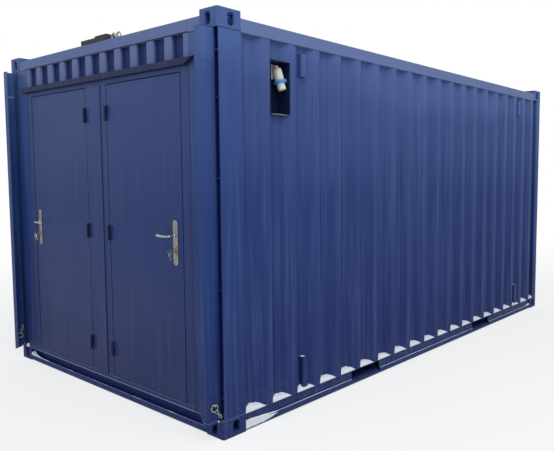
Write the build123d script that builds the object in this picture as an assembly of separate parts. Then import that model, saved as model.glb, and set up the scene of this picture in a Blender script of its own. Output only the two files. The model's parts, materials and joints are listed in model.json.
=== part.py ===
from build123d import *
import os

os.makedirs("parts", exist_ok=True)

# Toilet container: a short corrugated steel freight-type box with two personnel doors in one end.
# Millimetres. X runs along the length with the door end at -X, Y across, Z up from the ground.
# Right and left are as seen by someone who stands outside and faces the door end: right is -Y.

# Overall size: 16 ft by 9 ft by 8 ft 6 in
LENGTH = 4877.0
WIDTH = 2743.0
HEIGHT = 2591.0

# Corner castings
CASTING_LENGTH = 178.0
CASTING_WIDTH = 162.0
CASTING_HEIGHT = 118.0
CASTING_WALL = 16.0
CASTING_DECK = 28.0
CASTING_EDGE_RADIUS = 12.0
SLOT_LENGTH = 124.0
SLOT_WIDTH = 63.5
SLOT_FROM_END = 101.5
SLOT_FROM_SIDE = 89.0
HOLE_WIDTH = 51.0
HOLE_HEIGHT = 79.5
HOLE_CORNER_RADIUS = 18.0

# Frame rails and posts
RAIL_SETBACK = 2.0
TOP_RAIL_WIDTH = 60.0
TOP_RAIL_DROP = 41.0
TOP_RAIL_HEIGHT = 80.0
TUBE_WALL = 4.0
POST_WALL = 6.0
POST_EDGE_RADIUS = 5.0
FRONT_POST_WIDTH = 110.0
FRONT_POST_SIDE = 178.0
FRONT_POST_RETURN = 60.0
FRONT_POST_DEPTH = 110.0
HINGE_RECESS_WIDTH = 32.0
HINGE_RECESS_DEPTH = 58.0
HINGE_RECESS_LIP = 8.0
HINGE_RECESS_LIP_SETBACK = 8.0
LUG_HEIGHT = 12.0
LUG_FROM_BOTTOM = 132.0
LUG_FROM_TOP = 137.0
LUG_PAIR_SPACING = 271.0
LUG_LOWER_SPACING = 670.0
REAR_POST_SIDE = 100.0
REAR_POST_CORNER_RADIUS = 12.0

# Bottom side rails with their outward lower flange
BOTTOM_RAIL_TOP = 112.0
BOTTOM_RAIL_UNDERSIDE = 6.0
BOTTOM_RAIL_WALL = 5.0
BOTTOM_LEDGE_SETBACK = 4.0
BOTTOM_RAIL_WEB_SETBACK = 16.0
BOTTOM_FLANGE_TOP = 45.0
BOTTOM_RAIL_DEPTH = 58.0

# Fork pockets
POCKET_SPACING = 1984.0
POCKET_WIDTH = 360.0
POCKET_FLOOR = 32.0
POCKET_WALL = 5.0

# Corrugated sheets
SHEET = 2.0
WAVE_PITCH = 236.5
WAVE_SLOPE = 57.5
WAVE_INNER_FLAT = 60.0
WAVE_DEPTH = 36.0
WAVE_START = 183.0
SHEET_SETBACK = 6.0

# Fins in front of the corner posts
FIN_DEPTH = 83.0
FIN_SHEET = 6.0
FIN_LIP = 70.0
FIN_BEND = 14.0
FIN_SPLIT_FROM_TOP = 320.0
FIN_GAP = 1.5
FIN_BOTTOM = 100.0
FIN_BOTTOM_RADIUS = 48.0

# Floor, linings and ceiling
FLOOR_TOP = 145.0
FLOOR_THICKNESS = 33.0
LINING = 80.0
CEILING_THICKNESS = 96.0
ROOF_SHEET_DROP = 4.0
ROOF_WAVE_DEPTH = 18.0
ROOF_WAVE_PITCH = 209.0
ROOF_WAVE_FLAT = 91.0
ROOF_WAVE_SLOPE = 13.5
CROSS_MEMBER_HEIGHT = 95.0
CROSS_MEMBER_WIDTH = 50.0
CROSS_MEMBER_SPACING = 420.0

# Front wall
FRONT_HEADER_DROP = 35.0
FRONT_HEADER_HEIGHT = 75.0
FRONT_SILL_UNDERSIDE = 6.0
FRONT_SILL_LIP_TOP = 45.0
FRONT_SILL_DEPTH = 52.0
FRONT_SILL_WALL = 6.0
THRESHOLD_HEIGHT = 31.0
FRONT_WALL_DEPTH = 100.0
SIDE_PANEL_WIDTH = 167.5
TRANSOM_HEIGHT = 147.0
HEAD_HEIGHT = 82.0
RIB_PITCH = 196.0
RIB_WIDTH = 72.0
RIB_DEPTH = 26.0
RIB_SLOPE = 10.0
RIB_SETBACK = 4.0
CANOPY_TOP_OVERHANG = 96.0
CANOPY_BOTTOM_INSET = 4.0
CANOPY_PROJECTION = 36.0
CANOPY_HEIGHT = 50.0
CANOPY_SLOPE_DROP = 14.0
CANOPY_SHEET = 3.0

# Doors and their frame
LEAF_HINGE_EDGE = 148.0
LEAF_BOTTOM_GAP = 7.0
LEAF_THICKNESS = 50.0
LEAF_EDGE_RADIUS = 3.0
LEAF_GAP = 7.0
LEAF_HINGE_GAP = 6.0
LATCH_GAP = 9.0
STOP_GAP = 6.0
STOP_OVERLAP = 18.0
FRAME_WALL = 3.0
JAMB_WIDTH = 82.0
COVER_STRIP_HALF = 65.0
COVER_STRIP_THICKNESS = 6.0

# Hinges
HINGE_FROM_BOTTOM = 199.0
HINGE_FROM_TOP = 194.0
HINGE_HEIGHT = 100.0
HINGE_BARREL_RADIUS = 10.0
HINGE_PIN_RADIUS = 5.0
HINGE_PIN_CLEARANCE = 0.05
HINGE_AXIS_OUT = 12.0
HINGE_AXIS_Y = 146.0
HINGE_PLATE_WIDTH = 34.0
HINGE_PLATE_THICKNESS = 4.0
HINGE_STEP = 0.5
HINGE_CAP = 6.0

# Door handles
HANDLE_BACKSET = 73.0
HANDLE_PLATE_WIDTH = 50.0
HANDLE_PLATE_HEIGHT = 290.0
HANDLE_PLATE_CENTRE = 1181.0
HANDLE_PLATE_FLAT = 8.0
HANDLE_PLATE_THICKNESS = 8.0
HANDLE_PLATE_CROWN = 3.0
LEVER_Z = 1226.0
LEVER_LENGTH = 138.0
LEVER_RADIUS = 8.0
LEVER_BEND_RADIUS = 15.0
LEVER_STANDOFF = 46.0
LEVER_ROSE_RADIUS = 13.0
LEVER_ROSE_LENGTH = 6.0
LEVER_PLATE_GAP = 0.3
SPINDLE_RADIUS = 5.0
SPINDLE_CLEARANCE = 0.05
CYLINDER_Z = 1112.0
CYLINDER_RADIUS = 9.0
CYLINDER_OUT = 5.0
KEY_LENGTH = 24.0
KEY_THICKNESS = 2.5
KEY_HEIGHT = 8.0
KEY_BOW_RADIUS = 12.0

# Power inlet in the right side wall
INLET_BOX_START = 426.0
INLET_BOX_WIDTH = 174.0
INLET_BOX_HEIGHT = 345.0
INLET_BOX_DROP = 125.0
INLET_BOX_RIM = 3.0
INLET_BOX_DEPTH = 112.0
INLET_BOX_WALL = 3.0
INLET_FROM_FRONT = 505.0
INLET_BASE_WIDTH = 74.0
INLET_BASE_HEIGHT = 96.0
INLET_BASE_THICKNESS = 26.0
INLET_BASE_DROP = 9.0
INLET_TILT = 16.0
INLET_BODY_RADIUS = 29.0
INLET_BODY_LENGTH = 74.0
INLET_COLLAR_RADIUS = 44.0
INLET_COLLAR_LENGTH = 16.0
INLET_SOCKET_RADIUS = 27.0
INLET_SOCKET_LENGTH = 46.0
INLET_SOCKET_WALL = 4.0
INLET_PIVOT_FROM_SIDE = 86.0
INLET_PIVOT_DROP = 45.0
INLET_SOCKET_FLOOR = 6.0

# Vent hoods in two recesses of the right side wall, one high and one low in each
VENT_RECESS = 2
VENT_WIDTH = 48.0
VENT_FROM_SLOPE = 1.0
VENT_FACE_SETBACK = 8.0
VENT_WALL = 2.0
UPPER_VENT_HEIGHT = 152.0
UPPER_VENT_DROP = 46.0
LOWER_VENT_HEIGHT = 212.0
LOWER_VENT_RISE = 22.0

# Low service box on the front header, with two lifting rings beside it
ROOF_BOX_LENGTH = 335.0
ROOF_BOX_CENTRE = -15.0
ROOF_BOX_DEPTH = 120.0
ROOF_BOX_HEIGHT = 46.0
ROOF_BOX_STEP_LENGTH = 195.0
ROOF_BOX_STEP = 10.0
ROOF_RING_RADIUS = 30.0
ROOF_RING_BAR = 6.0
ROOF_RING_SINK = 12.0
ROOF_RING_SPACING = 65.0
ROOF_RING_GAP = 62.0
ROOF_BOX_EDGE_RADIUS = 8.0

# Tie-back rings on the fins
RING_BAR = 4.0
RING_RADIUS = 24.0
RING_LEVEL = 208.0
RING_OUT = 8.0
PEG_RADIUS = 4.0
PEG_LENGTH = 14.0
PEG_HEAD_RADIUS = 7.0
PEG_HEAD = 3.0

FRONT = -(LENGTH - FIN_DEPTH) / 2
REAR = FRONT + LENGTH
SIDE = WIDTH / 2
TOP_RAIL_TOP = HEIGHT - TOP_RAIL_DROP
TOP_RAIL_UNDERSIDE = TOP_RAIL_TOP - TOP_RAIL_HEIGHT
ROOF_SHEET_TOP = TOP_RAIL_TOP - ROOF_SHEET_DROP
CEILING_TOP = ROOF_SHEET_TOP - ROOF_WAVE_DEPTH - SHEET
CEILING_UNDERSIDE = CEILING_TOP - CEILING_THICKNESS
FRONT_HEADER_TOP = HEIGHT - FRONT_HEADER_DROP
FRONT_HEADER_UNDERSIDE = FRONT_HEADER_TOP - FRONT_HEADER_HEIGHT
POST_BOTTOM = CASTING_HEIGHT
POST_TOP = HEIGHT - CASTING_HEIGHT
POST_INNER = SIDE - FRONT_POST_WIDTH
THRESHOLD_TOP = BOTTOM_RAIL_TOP + THRESHOLD_HEIGHT
HEAD_TOP = FRONT_HEADER_UNDERSIDE - TRANSOM_HEIGHT
HEAD_BOTTOM = HEAD_TOP - HEAD_HEIGHT
LEAF_BOTTOM = THRESHOLD_TOP + LEAF_BOTTOM_GAP
LEAF_TOP = HEAD_BOTTOM - LEAF_GAP
JAMB_OUTER_EDGE = POST_INNER - SIDE_PANEL_WIDTH
JAMB_INNER_EDGE = JAMB_OUTER_EDGE - JAMB_WIDTH
LEAF_LATCH_EDGE = JAMB_INNER_EDGE - LATCH_GAP
HANDLE_Y = LEAF_LATCH_EDGE - HANDLE_BACKSET
POST_HALF = LEAF_HINGE_EDGE - LEAF_HINGE_GAP
STOP_FRONT = FRONT + LEAF_THICKNESS + STOP_GAP
STOP_BACK = FRONT + FRONT_WALL_DEPTH
SHEET_INNER = SHEET_SETBACK + WAVE_DEPTH + SHEET
LINING_INNER = SHEET_INNER + LINING
FIN_SPLIT = HEIGHT - FIN_SPLIT_FROM_TOP
FIN_ROOT = -SIDE + HINGE_RECESS_LIP + HINGE_RECESS_WIDTH
INLET_BOX_TOP = TOP_RAIL_UNDERSIDE - INLET_BOX_DROP
INLET_BOX_BOTTOM = INLET_BOX_TOP - INLET_BOX_HEIGHT
CUT = 1.0
UP = (0, 0, 1)
REARWARD = (1, 0, 0)
FORWARD = (-1, 0, 0)
LEFTWARD = (0, 1, 0)


def block(x0, x1, y0, y1, z0, z1):
    """A rectangular block between two opposite corners."""
    return Pos((x0 + x1) / 2, (y0 + y1) / 2, (z0 + z1) / 2) * Box(x1 - x0, y1 - y0, z1 - z0)


def prism(points, direction, amount):
    """A closed outline of 3-D points pushed along a direction."""
    return extrude(make_face(Polyline(*points, close=True)), amount=amount, dir=direction)


def column(points, z0, z1):
    """An XY outline standing between two levels."""
    return prism([(x, y, z0) for x, y in points], UP, z1 - z0)


def along(points, x0, x1):
    """A YZ outline running along the length."""
    return prism([(x0, y, z) for y, z in points], REARWARD, x1 - x0)


def across(points, y0, y1):
    """An XZ outline running across the width."""
    return prism([(x, y0, z) for x, z in points], LEFTWARD, y1 - y0)


def left_of(shape):
    """The left-hand twin of a right-hand piece."""
    return mirror(shape, about=Plane.XZ)


def rounded(shape, axis, radius):
    """The shape with its edges along one axis rounded."""
    return fillet(shape.edges().filter_by(axis), radius)


def rod(start, direction, radius, length):
    """A round bar from a point along a direction."""
    standing = Cylinder(radius, length, align=(Align.CENTER, Align.CENTER, Align.MIN))
    return Plane(origin=start, z_dir=direction) * standing


def save(name, *solids):
    """Write one named piece."""
    shape = solids[0] if len(solids) == 1 else Compound(children=list(solids))
    export_step(shape, f"parts/{name}.step")


def corner_casting():
    """A top corner casting at the front right corner: hollow, with an aperture in its top, end and side."""
    x0, y0, z1 = FRONT, -SIDE, HEIGHT
    body = block(x0, x0 + CASTING_LENGTH, y0, y0 + CASTING_WIDTH, z1 - CASTING_HEIGHT, z1)
    corner = body.edges().filter_by(Axis.Z).sort_by_distance((x0, y0, z1))[0]
    body = fillet(corner, CASTING_EDGE_RADIUS)
    hollow = block(x0 + CASTING_WALL, x0 + CASTING_LENGTH - CASTING_WALL, y0 + CASTING_WALL,
                   y0 + CASTING_WIDTH - CASTING_WALL, z1 - CASTING_HEIGHT + CASTING_WALL, z1 - CASTING_DECK)
    slot = extrude(Pos(x0 + SLOT_FROM_END, y0 + SLOT_FROM_SIDE, z1 - CASTING_DECK - CUT)
                   * SlotOverall(SLOT_LENGTH, SLOT_WIDTH), amount=CASTING_DECK + 2 * CUT)
    hole = RectangleRounded(HOLE_WIDTH, HOLE_HEIGHT, HOLE_CORNER_RADIUS)
    middle = z1 - CASTING_HEIGHT / 2
    end_hole = extrude(Plane(origin=(x0 - CUT, y0 + SLOT_FROM_SIDE, middle), x_dir=(0, 1, 0), z_dir=(1, 0, 0))
                       * hole, amount=CASTING_WALL + 2 * CUT)
    side_hole = extrude(Plane(origin=(x0 + SLOT_FROM_END, y0 - CUT, middle), x_dir=(1, 0, 0), z_dir=(0, 1, 0))
                        * hole, amount=CASTING_WALL + 2 * CUT)
    return body - hollow - slot - end_hole - side_hole


def four_corners(casting):
    """The casting and its twins at the other three corners of the same end level."""
    rear = Pos(2 * FRONT + LENGTH, 0, 0) * mirror(casting, about=Plane.YZ)
    return [casting, left_of(casting), rear, left_of(rear)]


def front_post():
    """The right front post: a folded plate section with an open hinge recess and its lugs."""
    w, s, r, back = FRONT_POST_WIDTH, FRONT_POST_SIDE, FRONT_POST_RETURN, FRONT_POST_DEPTH
    lip, rec, d, t = HINGE_RECESS_LIP, HINGE_RECESS_LIP + HINGE_RECESS_WIDTH, HINGE_RECESS_DEPTH, POST_WALL
    edge = HINGE_RECESS_LIP_SETBACK
    outline = [(edge, 0), (s, 0), (s, r), (back, r), (back, w), (0, w), (0, rec), (d, rec), (d, lip), (edge, lip)]
    void = [(d + t, t), (s - t, t), (s - t, r - t), (back - t, r - t), (back - t, w - t), (t, w - t),
            (t, rec + t), (d + t, rec + t)]

    def place(points):
        return [(FRONT + v, -SIDE + u) for v, u in points]

    post = column(place(outline), POST_BOTTOM, POST_TOP)
    post -= column(place(void), POST_BOTTOM - CUT, POST_TOP + CUT)
    corner = post.edges().filter_by(Axis.Z).sort_by_distance((FRONT + edge, -SIDE, HEIGHT / 2))[0]
    post = fillet(corner, POST_EDGE_RADIUS)
    low, high = POST_BOTTOM + LUG_FROM_BOTTOM, POST_TOP - LUG_FROM_TOP
    for level in (low, low + LUG_LOWER_SPACING, low + 2 * LUG_LOWER_SPACING, high - LUG_PAIR_SPACING, high):
        post += block(FRONT + edge, FRONT + d, -SIDE + lip, -SIDE + rec, level, level + LUG_HEIGHT)
    return post


def rear_post():
    """The right rear post: a square tube with rounded corners."""
    a, t = REAR_POST_SIDE, POST_WALL
    outer = block(REAR - a, REAR, -SIDE, -SIDE + a, POST_BOTTOM, POST_TOP)
    outer = rounded(outer, Axis.Z, REAR_POST_CORNER_RADIUS)
    return outer - block(REAR - a + t, REAR - t, -SIDE + t, -SIDE + a - t, POST_BOTTOM - CUT, POST_TOP + CUT)


def front_fin(z0, z1, round_bottom):
    """One length of the right fin: a bent strip whose root stands on the post and whose lip turns inwards."""
    root = FIN_ROOT
    outer = block(FRONT - FIN_DEPTH, FRONT, root, root + FIN_LIP, z0, z1)
    bend = outer.edges().filter_by(Axis.Z).sort_by_distance((FRONT - FIN_DEPTH, root, z0))[0]
    outer = fillet(bend, FIN_BEND)
    t = FIN_SHEET
    inner = block(FRONT - FIN_DEPTH + t, FRONT + t, root + t, root + FIN_LIP + t, z0 - CUT, z1 + CUT)
    near = inner.edges().filter_by(Axis.Z).sort_by_distance((FRONT - FIN_DEPTH + t, root + t, z0))[0]
    inner = fillet(near, FIN_BEND - t)
    fin = outer - inner
    if round_bottom:
        r = FIN_BOTTOM_RADIUS
        back = fin.edges().filter_by(Axis.Y).sort_by_distance((FRONT, root, z0))[0]
        fin = fillet(back, r)
        tip = fin.edges().filter_by(Axis.X).sort_by_distance((FRONT - FIN_DEPTH, root + FIN_LIP, z0))[0]
        fin = fillet(tip, r)
    return fin


def tube_x(x0, x1, y0, y1, z0, z1, wall):
    """A rectangular tube along X."""
    bore = block(x0 - CUT, x1 + CUT, y0 + wall, y1 - wall, z0 + wall, z1 - wall)
    return block(x0, x1, y0, y1, z0, z1) - bore


def tube_y(x0, x1, y0, y1, z0, z1, wall):
    """A rectangular tube along Y."""
    bore = block(x0 + wall, x1 - wall, y0 - CUT, y1 + CUT, z0 + wall, z1 - wall)
    return block(x0, x1, y0, y1, z0, z1) - bore


def clear_of_corners(shape):
    """The shape with the room that the corner castings and posts take cut out of it."""
    for z0 in (0, POST_TOP):
        for x0 in (FRONT, REAR - CASTING_LENGTH):
            for y0 in (-SIDE, SIDE - CASTING_WIDTH):
                shape -= block(x0, x0 + CASTING_LENGTH, y0, y0 + CASTING_WIDTH, z0, z0 + CASTING_HEIGHT)
    for side in (-1, 1):
        for x0, x1, width in ((FRONT, FRONT + FRONT_POST_DEPTH, FRONT_POST_WIDTH),
                              (FRONT, FRONT + FRONT_POST_SIDE, FRONT_POST_RETURN),
                              (REAR - REAR_POST_SIDE, REAR, REAR_POST_SIDE)):
            y0, y1 = sorted((side * SIDE, side * (SIDE - width)))
            shape -= block(x0, x1, y0, y1, POST_BOTTOM, POST_TOP)
    return shape


def pocket_centres():
    """Places along the length of the two fork pockets."""
    middle = (FRONT + REAR) / 2
    return [middle - POCKET_SPACING / 2, middle + POCKET_SPACING / 2]


def bottom_rail():
    """The right bottom rail: a ledge plate, folded lengths between the pockets, and a sill at each pocket."""
    t, ledge, web, deep = BOTTOM_RAIL_WALL, BOTTOM_LEDGE_SETBACK, BOTTOM_RAIL_WEB_SETBACK, BOTTOM_RAIL_DEPTH
    low, step, top = BOTTOM_RAIL_UNDERSIDE, BOTTOM_FLANGE_TOP, BOTTOM_RAIL_TOP
    flange, sill = RAIL_SETBACK, POCKET_FLOOR - POCKET_WALL
    outline = [(web, top - t), (web, step), (flange, step), (flange, low), (deep, low), (deep, low + t),
               (flange + t, low + t), (flange + t, step - t), (web + t, step - t), (web + t, top - t)]
    folded = [(-SIDE + u, z) for u, z in outline]
    start, end, half = FRONT + CASTING_LENGTH, REAR - CASTING_LENGTH, POCKET_WIDTH / 2
    pieces = [block(start, end, -SIDE + ledge, -SIDE + deep, top - t, top)]
    for x in pocket_centres():
        pieces.append(along(folded, start, x - half))
        pieces.append(block(x - half, x + half, -SIDE + flange, -SIDE + deep, low, sill))
        start = x + half
    pieces.append(along(folded, start, end))
    return pieces


def top_rail():
    """The right top rail."""
    return tube_x(FRONT + CASTING_LENGTH, REAR - CASTING_LENGTH, -SIDE + RAIL_SETBACK,
                  -SIDE + RAIL_SETBACK + TOP_RAIL_WIDTH, TOP_RAIL_UNDERSIDE, TOP_RAIL_TOP, TUBE_WALL)


def wave_path(start, end, first, pitch, slope, inner_flat):
    """Distances and depths (0 outer, 1 inner) of a trapezoid wave between start and end."""
    path = [(start, 0.0)]
    place = first
    while place < end:
        turns = ((0.0, 0.0), (slope, 1.0), (slope + inner_flat, 1.0), (2 * slope + inner_flat, 0.0))
        for step, depth in turns:
            if place + step >= end:
                before, last = path[-1], (place + step, depth)
                share = (end - before[0]) / (last[0] - before[0])
                path.append((end, before[1] + share * (last[1] - before[1])))
                return path
            if place + step > path[-1][0]:
                path.append((place + step, depth))
        place += pitch
    path.append((end, 0.0))
    return path


def sheet_outline(path, origin, depth, thickness):
    """The closed outline of a bent sheet: out along its face and back along its reverse."""
    face = [(s, origin + depth * d) for s, d in path]
    return face + [(s, w + thickness) for s, w in reversed(face)]


def side_sheet():
    """The right side sheet: upright trapezoid corrugations between the posts."""
    end = LENGTH - REAR_POST_SIDE
    path = wave_path(FRONT_POST_SIDE, end, WAVE_START, WAVE_PITCH, WAVE_SLOPE, WAVE_INNER_FLAT)
    outline = sheet_outline(path, SHEET_SETBACK, WAVE_DEPTH, SHEET)
    return column([(FRONT + v, -SIDE + u) for v, u in outline], BOTTOM_RAIL_TOP, TOP_RAIL_UNDERSIDE)


def around_inlet(wall):
    """A right side wall as four lengths around the inlet box: front, rear, under and over it."""
    x0, x1 = FRONT + INLET_BOX_START, FRONT + INLET_BOX_START + INLET_BOX_WIDTH
    y0, y1 = -SIDE - CUT, 0.0
    return [wall & block(FRONT, x0, y0, y1, 0, HEIGHT), wall & block(x1, REAR, y0, y1, 0, HEIGHT),
            wall & block(x0, x1, y0, y1, 0, INLET_BOX_BOTTOM),
            wall & block(x0, x1, y0, y1, INLET_BOX_TOP, HEIGHT)]


def rear_sheet():
    """The rear wall sheet: the same corrugations between the rear posts."""
    half = SIDE - REAR_POST_SIDE
    span = 2 * half
    count = int((span - 2 * WAVE_SLOPE - WAVE_INNER_FLAT) // WAVE_PITCH)
    first = (span - count * WAVE_PITCH - 2 * WAVE_SLOPE - WAVE_INNER_FLAT) / 2
    path = wave_path(0.0, span, first, WAVE_PITCH, WAVE_SLOPE, WAVE_INNER_FLAT)
    outline = sheet_outline(path, SHEET_SETBACK, WAVE_DEPTH, SHEET)
    return column([(REAR - u, -half + s) for s, u in outline], BOTTOM_RAIL_TOP, TOP_RAIL_UNDERSIDE)


def roof_sheet(y0, y1, end_room):
    """A strip of the roof sheet, whose shallow corrugations run across, with room left at both ends."""
    first = TOP_RAIL_WIDTH + RAIL_SETBACK + ROOF_WAVE_FLAT
    path = wave_path(end_room, LENGTH - end_room, first, ROOF_WAVE_PITCH, ROOF_WAVE_SLOPE, ROOF_WAVE_FLAT)
    outline = sheet_outline(path, 0.0, ROOF_WAVE_DEPTH, SHEET)
    return across([(FRONT + s, ROOF_SHEET_TOP - w) for s, w in outline], y0, y1)


def transom_sheet():
    """The ribbed strip over the doors: raised flats between shallow troughs, with a half rib at each end."""
    trough = RIB_PITCH - RIB_WIDTH - 2 * RIB_SLOPE
    count = int((2 * JAMB_OUTER_EDGE - RIB_PITCH) // RIB_PITCH)
    first = JAMB_OUTER_EDGE - count * RIB_PITCH / 2 - trough / 2 - RIB_SLOPE
    path = wave_path(0.0, 2 * JAMB_OUTER_EDGE, first, RIB_PITCH, RIB_SLOPE, trough)
    outline = sheet_outline(path, RIB_SETBACK, RIB_DEPTH, SHEET)
    return column([(FRONT + w, s - JAMB_OUTER_EDGE) for s, w in outline], HEAD_TOP, FRONT_HEADER_UNDERSIDE)


def door_canopy():
    """The drip canopy over both doors: a hollow strip with a sloping top and ends that taper downwards."""
    p, t = CANOPY_PROJECTION, CANOPY_SHEET
    top, low = HEAD_TOP, HEAD_TOP - CANOPY_HEIGHT
    brow = top - CANOPY_SLOPE_DROP
    top_half, bottom_half = JAMB_OUTER_EDGE + CANOPY_TOP_OVERHANG, JAMB_OUTER_EDGE - CANOPY_BOTTOM_INSET

    def strip(outline, inset):
        body = across(outline, -top_half, top_half)
        ends = [(-top_half + inset, top), (-bottom_half + inset, low - t), (bottom_half - inset, low - t),
                (top_half - inset, top)]
        return body & along(ends, FRONT - p - CUT, FRONT + CUT)

    outer = strip([(FRONT, top), (FRONT - p, brow), (FRONT - p, low), (FRONT, low)], 0)
    face = FRONT - p + t
    inner = strip([(FRONT, top - t), (face, brow - t), (face, low - t), (FRONT, low - t)], t)
    return outer - inner


def front_sill():
    """The channel under the doors, open towards the outside above its upturned lower lip."""
    t, d, face = FRONT_SILL_WALL, FRONT_SILL_DEPTH, RAIL_SETBACK
    top, low, lip = BOTTOM_RAIL_TOP, FRONT_SILL_UNDERSIDE, FRONT_SILL_LIP_TOP
    outline = [(face, top), (d, top), (d, low), (face, low), (face, lip), (face + t, lip), (face + t, low + t),
               (d - t, low + t), (d - t, top - t), (face, top - t)]
    half = SIDE - CASTING_WIDTH
    return across([(FRONT + v, z) for v, z in outline], -half, half)


def door_jamb():
    """The right door jamb: a folded hollow section with its door stop."""
    near, far, stop = JAMB_INNER_EDGE, JAMB_OUTER_EDGE, LEAF_LATCH_EDGE - STOP_OVERLAP
    face, front, back, t = FRONT, STOP_FRONT, STOP_BACK, FRAME_WALL
    outline = [(face, far), (face, near), (front, near), (front, stop), (back, stop), (back, far)]
    void = [(face + t, far - t), (face + t, near + t), (front + t, near + t), (front + t, stop + t),
            (back - t, stop + t), (back - t, far - t)]
    jamb = column([(x, -y) for x, y in outline], THRESHOLD_TOP, HEAD_BOTTOM)
    return jamb - column([(x, -y) for x, y in void], THRESHOLD_TOP - CUT, HEAD_BOTTOM + CUT)


def door_head():
    """The head of the door frame over both doorways, with its stop."""
    t = FRAME_WALL
    low, stop, top = HEAD_BOTTOM, HEAD_BOTTOM - STOP_OVERLAP, HEAD_TOP
    outline = [(FRONT, top), (FRONT, low), (STOP_BACK, low), (STOP_BACK, top)]
    void = [(FRONT + t, top - t), (FRONT + t, low + t), (STOP_BACK - t, low + t), (STOP_BACK - t, top - t)]
    head = across(outline, -JAMB_OUTER_EDGE, JAMB_OUTER_EDGE)
    head -= across(void, -JAMB_OUTER_EDGE - CUT, JAMB_OUTER_EDGE + CUT)
    latch, hinge = LEAF_LATCH_EDGE - STOP_OVERLAP, LEAF_HINGE_EDGE + STOP_OVERLAP
    head += block(STOP_FRONT, STOP_BACK, -latch, -hinge, stop, low)
    head += block(STOP_FRONT, STOP_BACK, hinge, latch, stop, low)
    return head


def centre_post():
    """The post between the doors, with a stop on each side."""
    half, stop, t = POST_HALF, LEAF_HINGE_EDGE + STOP_OVERLAP, FRAME_WALL
    face, front, back = FRONT, STOP_FRONT, STOP_BACK
    outline = [(face, -half), (front, -half), (front, -stop), (back, -stop), (back, stop), (front, stop),
               (front, half), (face, half)]
    void = [(face + t, -half + t), (front + t, -half + t), (front + t, -stop + t), (back - t, -stop + t),
            (back - t, stop - t), (front + t, stop - t), (front + t, half - t), (face + t, half - t)]
    post = column(outline, THRESHOLD_TOP, HEAD_BOTTOM)
    return post - column(void, THRESHOLD_TOP - CUT, HEAD_BOTTOM + CUT)


def door_leaf():
    """The right door leaf: a flat panel with softened edges, bored for the lever's spindle."""
    leaf = block(FRONT, FRONT + LEAF_THICKNESS, -LEAF_LATCH_EDGE, -LEAF_HINGE_EDGE, LEAF_BOTTOM, LEAF_TOP)
    leaf = rounded(leaf, Axis.Z, LEAF_EDGE_RADIUS)
    bore = SPINDLE_RADIUS + SPINDLE_CLEARANCE
    return leaf - rod((FRONT - CUT, -HANDLE_Y, LEVER_Z), REARWARD, bore, LEAF_THICKNESS + 2 * CUT)


def hinge_half(level, on_frame):
    """Half of a lift-off hinge on the right door: the frame half with its pin, or the leaf half above it."""
    x, y, half = FRONT - HINGE_AXIS_OUT, -HINGE_AXIS_Y, HINGE_HEIGHT / 2
    t, w = HINGE_PLATE_THICKNESS, HINGE_PLATE_WIDTH
    pin_length = half - HINGE_CAP
    if on_frame:
        body = rod((x, y, level - half), UP, HINGE_BARREL_RADIUS, half)
        body += rod((x, y, level), UP, HINGE_PIN_RADIUS, pin_length)
        return body + block(FRONT - t, FRONT, y, y + w, level - half, level)
    low = level + HINGE_STEP
    body = rod((x, y, low), UP, HINGE_BARREL_RADIUS, half - HINGE_STEP)
    body += block(FRONT - t, FRONT, y - w, y, low, level + half)
    return body - rod((x, y, level), UP, HINGE_PIN_RADIUS + HINGE_PIN_CLEARANCE, pin_length + HINGE_STEP)


def handle_plates():
    """The right door's outer and inner handle plates, the outer one with its lock cylinder and key."""
    end_radius = (HANDLE_PLATE_WIDTH - HANDLE_PLATE_FLAT) / 2
    flat = RectangleRounded(HANDLE_PLATE_WIDTH, HANDLE_PLATE_HEIGHT, end_radius)
    t, bore = HANDLE_PLATE_THICKNESS, SPINDLE_RADIUS + SPINDLE_CLEARANCE

    def plate(x):
        plane = Plane(origin=(x, -HANDLE_Y, HANDLE_PLATE_CENTRE), x_dir=(0, -1, 0), z_dir=(-1, 0, 0))
        blank = extrude(plane * flat, amount=t)
        blank = fillet(blank.faces().sort_by(Axis.X)[-1 if x > FRONT else 0].edges(), HANDLE_PLATE_CROWN)
        return blank - rod((x - t - CUT, -HANDLE_Y, LEVER_Z), REARWARD, bore, t + 2 * CUT)

    outer = plate(FRONT)
    inner = plate(FRONT + LEAF_THICKNESS + t)
    face = FRONT - t
    outer += rod((face, -HANDLE_Y, CYLINDER_Z), FORWARD, CYLINDER_RADIUS, CYLINDER_OUT)
    key_end, half = face - CYLINDER_OUT - KEY_LENGTH, KEY_THICKNESS / 2
    key = block(key_end, face - CYLINDER_OUT, -HANDLE_Y - half, -HANDLE_Y + half, CYLINDER_Z - KEY_HEIGHT / 2,
                CYLINDER_Z + KEY_HEIGHT / 2)
    bow = rod((key_end, -HANDLE_Y - half, CYLINDER_Z), LEFTWARD, KEY_BOW_RADIUS, KEY_THICKNESS)
    return [outer + key + bow, inner]


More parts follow.
